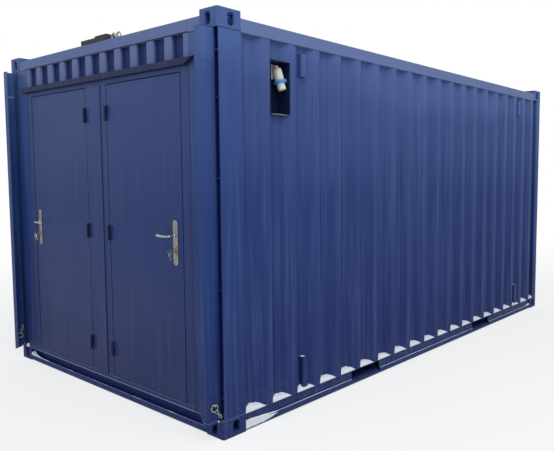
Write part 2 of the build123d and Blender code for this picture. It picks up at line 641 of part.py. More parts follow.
def lever():
    """The right door's lever: an outer and an inner arm of round bar, each bent off its rose."""
    t, bend = HANDLE_PLATE_THICKNESS + LEVER_PLATE_GAP, LEVER_BEND_RADIUS
    outer_face, inner_face = FRONT - t, FRONT + LEAF_THICKNESS + t
    body = rod((outer_face, -HANDLE_Y, LEVER_Z), REARWARD, SPINDLE_RADIUS, inner_face - outer_face)
    grip_start, grip_end = -HANDLE_Y + bend, -HANDLE_Y + LEVER_LENGTH - LEVER_RADIUS
    for face, out in ((outer_face, FORWARD), (inner_face, REARWARD)):
        turn, axis_x = face + out[0] * (LEVER_STANDOFF - bend), face + out[0] * LEVER_STANDOFF
        body += rod((face, -HANDLE_Y, LEVER_Z), out, LEVER_ROSE_RADIUS, LEVER_ROSE_LENGTH)
        body += rod((face, -HANDLE_Y, LEVER_Z), out, LEVER_RADIUS, LEVER_STANDOFF - bend)
        quarter = Plane(origin=(turn, grip_start, LEVER_Z), x_dir=(0, -1, 0), z_dir=(0, 0, out[0]))
        body += quarter * Torus(bend, LEVER_RADIUS, major_angle=90, align=None)
        body += rod((axis_x, grip_start, LEVER_Z), LEFTWARD, LEVER_RADIUS, grip_end - grip_start)
        body += Pos(axis_x, grip_end, LEVER_Z) * Sphere(LEVER_RADIUS)
    return body


def inlet_box():
    """The open-fronted steel box let into the right side wall."""
    x0, t = FRONT + INLET_BOX_START, INLET_BOX_WALL
    x1 = x0 + INLET_BOX_WIDTH
    y0, y1 = -SIDE + SHEET_SETBACK - INLET_BOX_RIM, -SIDE + SHEET_SETBACK + INLET_BOX_DEPTH
    outer = block(x0, x1, y0, y1, INLET_BOX_BOTTOM, INLET_BOX_TOP)
    return outer - block(x0 + t, x1 - t, y0 - CUT, y1 - t, INLET_BOX_BOTTOM + t, INLET_BOX_TOP - t)


def inlet_axis():
    """Start point and direction of the tilted inlet, which points down and outwards."""
    start = Vector(FRONT + INLET_FROM_FRONT, -SIDE + INLET_PIVOT_FROM_SIDE, INLET_BOX_TOP - INLET_PIVOT_DROP)
    direction = Vector(0, 0, -1).rotate(Axis.X, -INLET_TILT)
    return start, direction


def inlet_pieces():
    """Housing, collar and socket of the power inlet."""
    start, direction = inlet_axis()
    back = -SIDE + SHEET_SETBACK + INLET_BOX_DEPTH - INLET_BOX_WALL
    x, base_top = FRONT + INLET_FROM_FRONT, INLET_BOX_TOP - INLET_BASE_DROP
    base = block(x - INLET_BASE_WIDTH / 2, x + INLET_BASE_WIDTH / 2, back - INLET_BASE_THICKNESS, back,
                 base_top - INLET_BASE_HEIGHT, base_top)
    housing = base + rod(start, direction, INLET_BODY_RADIUS, INLET_BODY_LENGTH)
    collar_start = start + direction * INLET_BODY_LENGTH
    collar = rod(collar_start, direction, INLET_COLLAR_RADIUS, INLET_COLLAR_LENGTH)
    socket_start = collar_start + direction * INLET_COLLAR_LENGTH
    socket = rod(socket_start, direction, INLET_SOCKET_RADIUS, INLET_SOCKET_LENGTH)
    floor_point = socket_start + direction * INLET_SOCKET_FLOOR
    socket -= rod(floor_point, direction, INLET_SOCKET_RADIUS - INLET_SOCKET_WALL, INLET_SOCKET_LENGTH)
    return housing, collar, socket


def vent_cover(recess, low, height):
    """A vent hood in a recess of the right side sheet: closed at the top and sides, open underneath."""
    x = FRONT + WAVE_START + recess * WAVE_PITCH + WAVE_SLOPE + VENT_FROM_SLOPE
    wall = -SIDE + SHEET_SETBACK + WAVE_DEPTH
    face = -SIDE + VENT_FACE_SETBACK
    t, top = VENT_WALL, low + height
    hood = block(x, x + VENT_WIDTH, face, wall, low, top)
    return hood - block(x + t, x + VENT_WIDTH - t, face + t, wall - t, low - CUT, top - t)


def ring(centre, axis, radius, bar):
    """A round ring of round bar."""
    return Plane(origin=centre, z_dir=axis) * Torus(radius, bar)


def roof_box():
    """The low stepped box that stands on the front header."""
    x0, z0 = FRONT + RAIL_SETBACK, FRONT_HEADER_TOP
    y0 = -ROOF_BOX_CENTRE - ROOF_BOX_LENGTH / 2
    step, y1 = y0 + ROOF_BOX_LENGTH - ROOF_BOX_STEP_LENGTH, y0 + ROOF_BOX_LENGTH
    tall = block(x0, x0 + ROOF_BOX_DEPTH, y0, step, z0, z0 + ROOF_BOX_HEIGHT)
    low = block(x0, x0 + ROOF_BOX_DEPTH, step, y1, z0, z0 + ROOF_BOX_HEIGHT - ROOF_BOX_STEP)
    return rounded(tall, Axis.Y, ROOF_BOX_EDGE_RADIUS) + rounded(low, Axis.Y, ROOF_BOX_EDGE_RADIUS)


def roof_rings():
    """Two rings that stand on the front header beside the box, each sunk a little to sit flat."""
    x = FRONT + RAIL_SETBACK + TOP_RAIL_WIDTH / 2
    z = FRONT_HEADER_TOP + ROOF_RING_RADIUS - ROOF_RING_SINK
    first = -ROOF_BOX_CENTRE - ROOF_BOX_LENGTH / 2 - ROOF_RING_GAP
    room, level = 2 * ROOF_RING_RADIUS, FRONT_HEADER_TOP
    rings = []
    for y in (first, first - ROOF_RING_SPACING):
        whole = ring((x, y, z), REARWARD, ROOF_RING_RADIUS - ROOF_RING_BAR, ROOF_RING_BAR)
        rings.append(whole - block(x - room, x + room, y - room, y + room, level - room, level))
    return rings


def fin_ring():
    """A fin's tie-back ring on its headed peg, both standing out towards the right."""
    root, x = FIN_ROOT, FRONT - FIN_DEPTH / 2
    peg_level = RING_LEVEL + RING_RADIUS - RING_BAR - PEG_RADIUS
    peg = rod((x, root, peg_level), (0, -1, 0), PEG_RADIUS, PEG_LENGTH)
    peg += rod((x, root - PEG_LENGTH, peg_level), (0, -1, 0), PEG_HEAD_RADIUS, PEG_HEAD)
    return [peg, ring((x, root - RING_OUT, RING_LEVEL), LEFTWARD, RING_RADIUS, RING_BAR)]


def cross_members():
    """The floor's cross members, clear of the fork pockets."""
    half = SIDE - BOTTOM_RAIL_DEPTH
    top = FLOOR_TOP - FLOOR_THICKNESS
    members = []
    count = int(LENGTH // CROSS_MEMBER_SPACING)
    keep_out = POCKET_WIDTH / 2 + POCKET_WALL + CROSS_MEMBER_WIDTH
    for i in range(1, count):
        x = FRONT + FRONT_WALL_DEPTH + i * (LENGTH - 2 * FRONT_WALL_DEPTH) / count
        if min(abs(x - p) for p in pocket_centres()) < keep_out:
            continue
        members.append(block(x - CROSS_MEMBER_WIDTH / 2, x + CROSS_MEMBER_WIDTH / 2, -half, half,
                             top - CROSS_MEMBER_HEIGHT, top))
    return members


def fork_pockets():
    """The two fork pockets, each welded up from a floor, a roof and two side plates across the underframe."""
    half, t = POCKET_WIDTH / 2, POCKET_WALL
    end = SIDE - BOTTOM_RAIL_WEB_SETBACK - BOTTOM_RAIL_WALL
    low, top = POCKET_FLOOR - t, BOTTOM_RAIL_TOP - BOTTOM_RAIL_WALL
    deep = SIDE - BOTTOM_RAIL_DEPTH
    plates = []
    for x in pocket_centres():
        plates.append(block(x - half, x + half, -end, end, low, low + t))
        plates.append(block(x - half, x + half, -end, end, top - t, top))
        for edge in (x - half - t, x + half):
            plates.append(block(edge, edge + t, -deep, deep, low, top))
    return plates


top_casting = corner_casting()
save("top_castings", *four_corners(top_casting))
bottom_casting = Pos(0, 0, HEIGHT) * mirror(top_casting, about=Plane.XY)
save("bottom_castings", *four_corners(bottom_casting))

post = front_post()
save("front_post_right", post)
save("front_post_left", left_of(post))
back_post = rear_post()
save("rear_posts", back_post, left_of(back_post))

lower_fin = front_fin(FIN_BOTTOM, FIN_SPLIT - FIN_GAP / 2, True)
upper_fin = front_fin(FIN_SPLIT + FIN_GAP / 2, POST_TOP, False)
save("front_fin_right", lower_fin, upper_fin)
save("front_fin_left", left_of(lower_fin), left_of(upper_fin))
hung = fin_ring()
across_the_front = Pos(0, -2 * FIN_ROOT - FIN_SHEET, 0)
save("fin_rings", *hung, *[across_the_front * piece for piece in hung])

low_rail = bottom_rail()
save("bottom_rail_right", *low_rail)
save("bottom_rail_left", *[left_of(piece) for piece in low_rail])
high_rail = top_rail()
save("top_rail_right", high_rail)
save("top_rail_left", left_of(high_rail))

header_half, rail_face = SIDE - CASTING_WIDTH, RAIL_SETBACK + TOP_RAIL_WIDTH
save("front_header", tube_y(FRONT + RAIL_SETBACK, FRONT + rail_face, -header_half, header_half,
                            FRONT_HEADER_UNDERSIDE, FRONT_HEADER_TOP, TUBE_WALL))
save("rear_header", tube_y(REAR - rail_face, REAR - RAIL_SETBACK, -header_half, header_half,
                           TOP_RAIL_UNDERSIDE, TOP_RAIL_TOP, TUBE_WALL))
save("front_sill", front_sill())
save("rear_sill", tube_y(REAR - rail_face, REAR - RAIL_SETBACK, -header_half, header_half,
                         BOTTOM_RAIL_UNDERSIDE, BOTTOM_RAIL_TOP, TUBE_WALL))

plain_side = clear_of_corners(side_sheet())
save("side_sheet_right", *around_inlet(plain_side))
save("side_sheet_left", left_of(plain_side))
save("rear_sheet", clear_of_corners(rear_sheet()))
rail_inner = SIDE - rail_face
roof_edge = roof_sheet(-rail_inner, -header_half, CASTING_LENGTH)
save("roof_sheet", roof_sheet(-header_half, header_half, rail_face), roof_edge, left_of(roof_edge))

wall_back, lining_front, lining_rear = SIDE - SHEET_INNER, FRONT + FRONT_POST_SIDE, REAR - REAR_POST_SIDE
lining_face = SIDE - LINING_INNER
box_back = wall_back - INLET_BOX_DEPTH + WAVE_DEPTH + SHEET
backing = block(FRONT + INLET_BOX_START, FRONT + INLET_BOX_START + INLET_BOX_WIDTH, -box_back, -lining_face,
                INLET_BOX_BOTTOM, INLET_BOX_TOP)
lining = block(lining_front, lining_rear, -wall_back, -lining_face, FLOOR_TOP, CEILING_UNDERSIDE)
save("side_linings", *around_inlet(lining), backing, left_of(lining))
save("rear_lining", block(REAR - LINING_INNER, REAR - SHEET_INNER, -lining_face, lining_face, FLOOR_TOP,
                          CEILING_UNDERSIDE))
corner_face = SIDE - FRONT_POST_WIDTH
corner = block(STOP_BACK, lining_front, -corner_face, -lining_face, FLOOR_TOP, CEILING_UNDERSIDE)
save("front_linings", corner, left_of(corner))
ceiling_edge = block(FRONT + CASTING_LENGTH, REAR - CASTING_LENGTH, -rail_inner, -header_half,
                     CEILING_UNDERSIDE, CEILING_TOP)
ceiling = block(STOP_BACK, REAR - rail_face, -header_half, header_half, CEILING_UNDERSIDE, CEILING_TOP)
save("ceiling_panel", ceiling, ceiling_edge, left_of(ceiling_edge))
floor = block(STOP_BACK, REAR - SHEET_INNER, -wall_back, wall_back, FLOOR_TOP - FLOOR_THICKNESS, FLOOR_TOP)
save("floor_panel", clear_of_corners(floor))
save("cross_members", *cross_members())
save("fork_pockets", *fork_pockets())

side_panel = clear_of_corners(block(FRONT, STOP_BACK, -POST_INNER, -JAMB_OUTER_EDGE, BOTTOM_RAIL_TOP,
                                    FRONT_HEADER_UNDERSIDE))
save("front_side_panels", side_panel, left_of(side_panel))
save("transom_sheet", transom_sheet())
transom_back = FRONT + RIB_SETBACK + RIB_DEPTH + SHEET
save("transom_backing", block(transom_back, STOP_BACK, -JAMB_OUTER_EDGE, JAMB_OUTER_EDGE, HEAD_TOP,
                              CEILING_UNDERSIDE))
save("door_canopy", door_canopy())
save("door_head", door_head())
jamb = door_jamb()
save("door_jambs", jamb, left_of(jamb))
save("centre_post", centre_post())
save("centre_cover_strip", block(FRONT - COVER_STRIP_THICKNESS, FRONT, -COVER_STRIP_HALF, COVER_STRIP_HALF,
                                 THRESHOLD_TOP, HEAD_BOTTOM))
save("door_threshold", block(FRONT, STOP_BACK, -JAMB_OUTER_EDGE, JAMB_OUTER_EDGE, BOTTOM_RAIL_TOP,
                             THRESHOLD_TOP))

leaf = door_leaf()
save("door_leaf_right", leaf)
save("door_leaf_left", left_of(leaf))
hinge_low, hinge_high = LEAF_BOTTOM + HINGE_FROM_BOTTOM, LEAF_TOP - HINGE_FROM_TOP
hinge_levels = (hinge_low, (hinge_low + hinge_high) / 2, hinge_high)
frame_halves = [hinge_half(level, True) for level in hinge_levels]
save("frame_hinges", *frame_halves, *[left_of(h) for h in frame_halves])
leaf_halves = [hinge_half(level, False) for level in hinge_levels]
save("leaf_hinges_right", *leaf_halves)
save("leaf_hinges_left", *[left_of(h) for h in leaf_halves])
plates = handle_plates()
save("handle_plates_right", *plates)
save("handle_plates_left", *[left_of(p) for p in plates])
arm = lever()
save("lever_right", arm)
save("lever_left", left_of(arm))

save("inlet_box", inlet_box())
housing, collar, socket = inlet_pieces()
save("inlet_housing", housing)
save("inlet_collar", collar)
save("inlet_socket", socket)
recess_width = 2 * WAVE_SLOPE + WAVE_INNER_FLAT
whole_recesses = int((LENGTH - REAR_POST_SIDE - WAVE_START - recess_width) // WAVE_PITCH) + 1
upper_vent = TOP_RAIL_UNDERSIDE - UPPER_VENT_DROP - UPPER_VENT_HEIGHT
lower_vent = BOTTOM_RAIL_TOP + LOWER_VENT_RISE
save("vent_covers", *[vent_cover(recess, low, height)
                      for recess in (VENT_RECESS, whole_recesses - VENT_RECESS)
                      for low, height in ((upper_vent, UPPER_VENT_HEIGHT), (lower_vent, LOWER_VENT_HEIGHT))])
save("roof_box", roof_box())
save("roof_rings", *roof_rings())
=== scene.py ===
import json
import math

import bmesh
import bpy
import numpy as np
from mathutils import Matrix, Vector


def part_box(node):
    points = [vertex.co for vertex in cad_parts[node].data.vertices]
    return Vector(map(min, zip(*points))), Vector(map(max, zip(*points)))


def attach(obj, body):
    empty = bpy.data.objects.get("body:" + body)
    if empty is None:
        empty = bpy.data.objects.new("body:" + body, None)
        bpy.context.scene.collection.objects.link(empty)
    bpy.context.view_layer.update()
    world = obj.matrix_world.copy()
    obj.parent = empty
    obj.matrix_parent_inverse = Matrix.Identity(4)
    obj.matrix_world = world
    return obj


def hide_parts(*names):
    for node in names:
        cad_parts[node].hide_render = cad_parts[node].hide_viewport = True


bl_info = {
    "name": "Toilet Container Dressing",
    "version": (1, 0, 0),
    "blender": (4, 5, 0),
    "location": "View3D > Sidebar > Container",
    "description": "Finishes, door furniture, welds, power inlet, rings and settled snow of a container",
    "category": "Object",
}

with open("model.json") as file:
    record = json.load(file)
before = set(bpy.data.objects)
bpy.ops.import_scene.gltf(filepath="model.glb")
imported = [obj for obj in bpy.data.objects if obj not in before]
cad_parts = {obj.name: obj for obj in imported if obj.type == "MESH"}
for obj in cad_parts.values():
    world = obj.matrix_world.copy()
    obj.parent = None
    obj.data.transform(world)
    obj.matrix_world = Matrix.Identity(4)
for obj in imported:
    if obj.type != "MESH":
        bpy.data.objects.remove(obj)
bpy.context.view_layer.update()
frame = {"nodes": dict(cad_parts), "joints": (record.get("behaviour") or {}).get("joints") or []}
MM = 0.001
UP = np.array((0.0, 0.0, 1.0))
ALONG = np.array((1.0, 0.0, 0.0))
ACROSS = np.array((0.0, 1.0, 0.0))


def corner_values(node):
    """Lowest and highest corner of a node of the frame as two arrays, in metres."""
    low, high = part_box(node)
    return np.array(low, float), np.array(high, float)


def joint_place(name):
    """Place of a joint of the frame as an array, in metres."""
    return np.array(next(joint["pos_m"] for joint in frame["joints"] if joint["name"] == name))


# Places read from the frame
LEAF_LOW, LEAF_HIGH = corner_values("door_leaf_right")
PLATE_LOW, PLATE_HIGH = corner_values("handle_plates_right")
SHEET_LOW, SHEET_HIGH = corner_values("side_sheet_right")
POST_LOW, POST_HIGH = corner_values("front_post_right")
POCKET_LOW, POCKET_HIGH = corner_values("fork_pockets")
BOX_LOW, BOX_HIGH = corner_values("inlet_box")
HEADER_LOW, HEADER_HIGH = corner_values("front_header")
ROOF_BOX_LOW, ROOF_BOX_HIGH = corner_values("roof_box")
ROOF_RING_LOW, ROOF_RING_HIGH = corner_values("roof_rings")
FIN_LOW, FIN_HIGH = corner_values("front_fin_right")
SILL_LOW, SILL_HIGH = corner_values("front_sill")
JAMB_LOW, JAMB_HIGH = corner_values("door_jambs")
HEAD_LOW, HEAD_HIGH = corner_values("door_head")
HINGE_LOW, HINGE_HIGH = corner_values("leaf_hinges_right")
HINGE_PIN = joint_place("door_right_hinge")
LEVER_PIVOT = joint_place("lever_right_turn")

# Lengths and levels worked out from them
RAIL_TOP = corner_values("bottom_rail_right")[1][2]
STRIP_EDGE = corner_values("centre_cover_strip")[1][1]
FRONT = LEAF_LOW[0]
RIGHT = POST_LOW[1]
POST_DEPTH = SHEET_LOW[0] - FRONT
REAR_POST = corner_values("bottom_castings")[1][0] - POST_DEPTH
LOCK_LEVEL = (PLATE_LOW[2] + PLATE_HIGH[2]) / 2 - 57 * MM
SILL_LIP = SILL_HIGH[2] - 67 * MM
FLANGE_TOP = 45 * MM
RING_LEVEL = 208 * MM
LEFT_TURN = (1.0, -1.0, 1.0)

# Corrugation of the long walls, as the frame has it: distances from the door end
WAVE_START = 183 * MM
WAVE_PITCH = 236.5 * MM
WAVE_SLOPE = 57.5 * MM
WAVE_FLAT = 60 * MM
WAVE_DEPTH = 36 * MM
WAVE_SETBACK = 6 * MM
WAVE_BENDS = (0, WAVE_SLOPE, WAVE_SLOPE + WAVE_FLAT, 2 * WAVE_SLOPE + WAVE_FLAT)
RECESSES = 20

# Faces that meet at more than this angle keep a crisp edge, and points nearer than this are merged
CRISP_ANGLE = math.radians(32.0)
MERGE_DISTANCE = 0.005 * MM

# Camera, matched to the photograph's view, and one soft lamp
CAMERA_PLACE = (-4.7215, -4.211, 1.628)
CAMERA_TURN = math.radians(38.91)
CAMERA_DIP = math.radians(4.53)
FOCAL_LENGTH = 39.59
SENSOR_WIDTH = 36.0
LENS_SHIFT = (-0.1265, -0.0081)
LAMP_PLACE = (-3.5, -4.5, 7.5)
LAMP_AIM = (0.0, 0.0, 1.0)
LAMP_WIDTH = 6.0
LAMP_POWER = 260.0
FLOOR_REACH = 60.0
FLOOR_DROP = 1 * MM


def mm(*points):
    """Points given in millimetres as an array in metres."""
    return np.array(points, float) * MM


def unit(vector):
    """A vector scaled to length one."""
    vector = np.asarray(vector, float)
    return vector / np.linalg.norm(vector)


def linear(hex_text):
    """An sRGB hex colour as linear red, green and blue."""
    parts = [int(hex_text[i:i + 2], 16) / 255 for i in (1, 3, 5)]
    return tuple(p / 12.92 if p <= 0.04045 else ((p + 0.055) / 1.055) ** 2.4 for p in parts)


def rgba(colour):
    """A colour with full opacity, from a hex text or three linear numbers."""
    return (*(linear(colour) if isinstance(colour, str) else colour), 1.0)


def colour_value(name, description, hex_text):
    """A colour property with its default given as sRGB hex."""
    return bpy.props.FloatVectorProperty(name=name, description=description, size=3, subtype="COLOR",
                                         min=0.0, max=1.0, default=linear(hex_text))


def length_value(name, description, millimetres):
    """A length property with its default given in millimetres."""
    return bpy.props.FloatProperty(name=name, description=description, unit="LENGTH", min=0.0,
                                   default=millimetres * MM)


class ContainerColours(bpy.types.PropertyGroup):
    """Colours of the finishes"""
    wall_low: colour_value("Wall, low", "Enamel of the corrugated sheets near the ground", "#1b2c64")
    wall_middle: colour_value("Wall, middle", "Enamel of the corrugated sheets at mid height", "#263970")
    wall_high: colour_value("Wall, high", "Enamel of the corrugated sheets near the roof, faded", "#4a5d93")
    post_low: colour_value("Frame, low", "Enamel of posts and rails near the ground", "#1b2e64")
    post_middle: colour_value("Frame, middle", "Enamel of posts and rails at mid height", "#233b73")
    post_high: colour_value("Frame, high", "Enamel of posts and rails near the roof, faded", "#455d93")
    door_low: colour_value("Door, low", "Enamel of the leaves near the ground", "#222c5b")
    door_middle: colour_value("Door, middle", "Enamel of the leaves at mid height", "#25376c")
    door_high: colour_value("Door, high", "Enamel of the leaves near the top", "#405285")
    chalk: colour_value("Chalked header", "Sun-faded, chalking enamel of the front header", "#61709c")
    canopy: colour_value("Canopy", "Dark enamel of the drip canopy", "#252b4b")
    hinge: colour_value("Hinge", "Dark enamel of the hinges", "#121838")
    steel: colour_value("Handle steel", "Brushed stainless steel of the handles", "#a5a299")
    cream: colour_value("Inlet housing", "Moulded cream plastic", "#d6d7cc")
    blue: colour_value("Inlet collar", "Moulded light blue plastic", "#3f8bd0")
    snow: colour_value("Snow", "Settled snow", "#e6e9f0")


class ContainerDetails(bpy.types.PropertyGroup):
    """Sizes of the small forms, and whether snow lies on the ledges"""
    bead: length_value("Weld bead", "Half width of a weld bead", 2.6)
    bead_pitch: length_value("Weld ripple", "Distance from one ripple of a bead to the next", 11.0)
    plate_crown: length_value("Handle plate crown", "Rise of the handle plate's middle over its rim", 4.0)
    sealant: length_value("Sealant", "Half width of a run of sealant", 3.8)
    lever_neck: length_value("Lever neck", "Half height of the lever at its bend", 6.0)
    lever_tip: length_value("Lever tip", "Half height of the lever near its tip", 8.8)
    gasket: length_value("Gasket width", "Width of the rubber seal on the door stops", 13.0)
    snow_bank: length_value("Snow bank", "Height of the snow against the wall in a recess", 37.0)
    with_snow: bpy.props.BoolProperty(name="Settled snow", description="Build the settled snow", default=True)


def loft(loops, closed=False):
    """Points and quads of a skin through loops, rows by columns by 3. Row r joins row r + 1 and the last
    column joins the first. Open ends close on a pole at the loop's mean; else the last row joins the first."""
    loops = np.asarray(loops, float)
    if not closed:
        first, last = (np.broadcast_to(loop.mean(0), (1, *loop.shape)) for loop in (loops[0], loops[-1]))
        loops = np.concatenate([first, loops, last])
    rows, cols = loops.shape[:2]
    row = np.arange(rows if closed else rows - 1)[:, None]
    col = np.arange(cols)[None, :]
    below, beside = (row + 1) % rows, (col + 1) % cols
    quads = np.stack([row * cols + col, row * cols + beside, below * cols + beside, below * cols + col], -1)
    return loops.reshape(-1, 3), quads.reshape(-1, 4)


def oval(half_width, half_height, count=12):
    """Section points of an ellipse: half_width cos t, half_height sin t. Arrays give one for each row."""
    t = np.linspace(0, 2 * np.pi, count, endpoint=False)
    return np.stack([np.multiply.outer(half_width, np.cos(t)), np.multiply.outer(half_height, np.sin(t))], -1)


def sweep(path, section, normal=UP, closed=False):
    """Loops of a section carried along a path. The run at a point is the mean of the directions before and
    after it, the side is run x normal over the cosine of half the turn, the top is side x run, and a section
    point (a, b) lands at path + a side + b top. The section may change from row to row."""
    path, section = np.asarray(path, float), np.asarray(section, float)
    step = np.diff(np.concatenate([path[-1:], path, path[:1]]), axis=0)
    step /= np.maximum(np.linalg.norm(step, axis=1, keepdims=True), 1e-12)
    if not closed:
        step[0], step[-1] = step[1], step[-2]
    run = step[:-1] + step[1:]
    run /= np.linalg.norm(run, axis=1, keepdims=True)
    side = np.cross(run, normal)
    side /= np.linalg.norm(side, axis=1, keepdims=True)
    top = np.cross(side, run)
    side /= np.maximum(np.sum(run * step[1:], 1), 0.3)[:, None]
    section = np.broadcast_to(section, (len(path), *section.shape[-2:]))
    return path[:, None] + section[..., :1] * side[:, None] + section[..., 1:] * top[:, None]


def turned(profile, origin, axis, count=24, lobes=0, lobe=0.0):
    """Skin of a profile of (radius, distance) pairs turned about an axis: origin + distance axis + radius
    (1 + lobe cos(lobes t)) (across cos t + other sin t). The lobe may change from row to row."""
    axis = unit(axis)
    across = unit(np.cross(axis, UP if abs(axis[2]) < 0.9 else ALONG))
    t = np.linspace(0, 2 * np.pi, count, endpoint=False)
    circle = np.outer(np.cos(t), across) + np.outer(np.sin(t), np.cross(axis, across))
    radius, distance = np.asarray(profile, float).T
    reach = radius[:, None] * (1 + np.multiply.outer(np.broadcast_to(lobe, radius.shape), np.cos(lobes * t)))
    return loft(np.asarray(origin, float) + distance[:, None, None] * axis + reach[..., None] * circle)


def rounded_outline(width, height, radius, count=7):
    """Outline of a rectangle with rounded corners: count points of a quarter circle round each."""
    t = np.linspace(0, np.pi / 2, count)[None, :] + np.arange(4)[:, None] * np.pi / 2
    centre = np.array(((1, 1), (-1, 1), (-1, -1), (1, -1))) * (width / 2 - radius, height / 2 - radius)
    return (centre[:, None] + radius * np.stack([np.cos(t), np.sin(t)], -1)).reshape(-1, 2)


def plate(width, height, radius, levels, origin, across, upward, outward):
    """Skin of a plate with rounded corners: at each level (inset, rise) the outline shrinks by inset and
    lifts by rise; local (u, v, w) lands at origin + u across + v upward + w outward."""
    rings = []
    for inset, rise in levels:
        ring = rounded_outline(width - 2 * inset, height - 2 * inset, max(radius - inset, 0.2 * MM))
        rings.append(np.column_stack([ring, np.full(len(ring), rise)]))
    return loft(np.asarray(origin, float) + np.array(rings) @ np.array([across, upward, outward], float))


def straight(start, end, spacing):
    """Points from start to end at even steps of about the spacing."""
    start, end = np.asarray(start, float), np.asarray(end, float)
    count = max(int(np.linalg.norm(end - start) / spacing), 1) + 1
    return start + np.linspace(0, 1, count)[:, None] * (end - start)


def through(corners, spacing):
    """Points along a run of straight lines between corners, at even steps, corners kept."""
    legs = [straight(a, b, spacing)[:-1] for a, b in zip(corners[:-1], corners[1:])]
    return np.concatenate([*legs, np.asarray(corners[-1:], float)])


def wall_depth(distance):
    """Depth of the long wall's face at distances from the door end: a trapezoid, repeated at the pitch."""
    share = np.interp(np.mod(distance - WAVE_START, WAVE_PITCH), (*WAVE_BENDS, WAVE_PITCH), (0, 1, 1, 0, 0))
    return np.where(distance < WAVE_START, 0.0, share) * WAVE_DEPTH


def ripple(values, seed):
    """A smooth, repeatable unevenness from -1 to 1: three sines with seeded phases."""
    phases = np.random.default_rng(seed).uniform(0, 2 * np.pi, 3)
    return np.sin(np.multiply.outer(values, (1.0, 2.3, 5.1)) + phases) @ (0.5, 0.3, 0.2)


def make_piece(name, skins, finish, body, replaces=()):
    """One object of several skins. Their arrays are joined, doubles merged and normals turned outwards, edges
    past the crisp angle are kept, and the piece rides on its body."""
    starts = np.cumsum([0] + [len(points) for points, _ in skins[:-1]])
    mesh = bpy.data.meshes.new(name)
    mesh.from_pydata(np.concatenate([points for points, _ in skins]), [],
                     np.concatenate([quads + start for (_, quads), start in zip(skins, starts)]))
    work = bmesh.new()
    work.from_mesh(mesh)
    bmesh.ops.remove_doubles(work, verts=work.verts, dist=MERGE_DISTANCE)
    bmesh.ops.dissolve_degenerate(work, edges=work.edges, dist=MERGE_DISTANCE)
    bmesh.ops.recalc_face_normals(work, faces=work.faces)
    work.to_mesh(mesh)
    work.free()
    mesh.shade_smooth()
    mesh.set_sharp_from_angle(angle=CRISP_ANGLE)
    mesh.materials.append(bpy.data.materials[finish])
    piece = bpy.data.objects.new(name, mesh)
    bpy.context.scene.collection.objects.link(piece)
    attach(piece, body)
    if replaces:
        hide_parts(*replaces)
    return piece


def copies(skins, factor, shift=(0.0, 0.0, 0.0)):
    """Copies of skins with every point times a factor for each direction, plus a shift."""
    return [(points * factor + np.asarray(shift), quads) for points, quads in skins]


def both_sides(skins):
    """The skins and their twins on the left, with the sign of Y turned."""
    return skins + copies(skins, LEFT_TURN)


def screw(origin, axis, radius):
    """A pan-head screw: a low dome turned about its axis, with a six-lobed well in it."""
    profile = np.array([(1, 0), (1, 0.12), (0.86, 0.42), (0.6, 0.56), (0.46, 0.58), (0.44, 0.2), (0.2, 0.18)])
    return turned(profile * radius, origin, axis, lobes=6, lobe=(0, 0, 0, 0, 0.18, 0.18, 0))


def bead(corners, normal, half, flat=0.6, pitch=0.0):
    """A run of sealant or weld along corners: an oval, half wide and flat times half high, sunk to its middle.
    With a pitch it swells by 14% sin(2 pi distance / pitch), the ripple that a welder's weave leaves."""
    path = through(corners, pitch / 3 if pitch else 0.05)
    size = np.full(len(path), half)
    if pitch:
        run = np.concatenate([[0], np.cumsum(np.linalg.norm(np.diff(path, axis=0), axis=1))])
        size *= 1 + 0.14 * np.sin(2 * np.pi * run / pitch)
    return loft(sweep(path, oval(size, flat * size, 8), normal))


def hoop(centre, axis, radius, section, stretch=1.0, lean=UP, count=40):
    """A ring that closes on itself: a section carried round centre + radius (across cos t + stretch lean
    sin t), where across is lean x axis."""
    t = np.linspace(0, 2 * np.pi, count, endpoint=False)
    axis, lean = unit(axis), unit(lean)
    path = radius * (np.outer(np.cos(t), np.cross(lean, axis)) + stretch * np.outer(np.sin(t), lean))
    return loft(sweep(np.asarray(centre, float) + path, section, axis, closed=True), closed=True)


def wall_turns(start, end):
    """Distances from the door end at which the long wall bends, between a start and an end."""
    turns = np.add.outer(np.arange(RECESSES) * WAVE_PITCH + WAVE_START, WAVE_BENDS).ravel()
    return np.concatenate([[start], turns[(turns > start) & (turns < end)], [end]])


def fill(node, values):
    """Give each input of a node, named or numbered, its value or the link that feeds it."""
    for key, value in values.items():
        if isinstance(value, bpy.types.NodeSocket):
            node.id_data.links.new(value, node.inputs[key])
        else:
            node.inputs[key].default_value = value


def add(tree, kind, values, out=0, **settings):
    """Add one shader node with its own settings, fill its inputs, and return its numbered or named output."""
    node = tree.nodes.new("ShaderNode" + kind)
    for key, value in settings.items():
        setattr(node, key, value)
    fill(node, values)
    return node.outputs[out]


def start_finish(name, sockets):
    """A new material with its shader's uniform sockets set; its tree, its shader and Object coordinates."""
    material = bpy.data.materials.new(name)
    material.use_nodes = True
    tree = material.node_tree
    shader = tree.nodes["Principled BSDF"]
    fill(shader, sockets)
    return tree, shader, add(tree, "TexCoord", {}, "Object")


def patches(tree, place, size, low, high, most=1.0, detail=2.0, least=0.0):
    """Patches about size metres across: from low to high, the noise takes the share from least to most."""
    cloud = add(tree, "TexNoise", {"Vector": place, "Scale": 1 / size, "Detail": detail})
    return add(tree, "MapRange", {"Value": cloud, 1: low, 2: high, 3: least, 4: most})


def distance_from(tree, value, centre=0.0):
    """How far a coordinate lies from a centre, to either side."""
    off = add(tree, "Math", {0: value, 1: centre}, operation="SUBTRACT")
    return add(tree, "Math", {0: off}, operation="ABSOLUTE")


def layered(tree, tone, layers):
    """A colour with others laid over it in turn, each where its share is high."""
    for share, colour in layers:
        tone = add(tree, "Mix", {0: share, 6: tone, 7: rgba(colour)}, 2, data_type="RGBA")
    return tone


BLACK = (0.0, 0.0, 0.0)


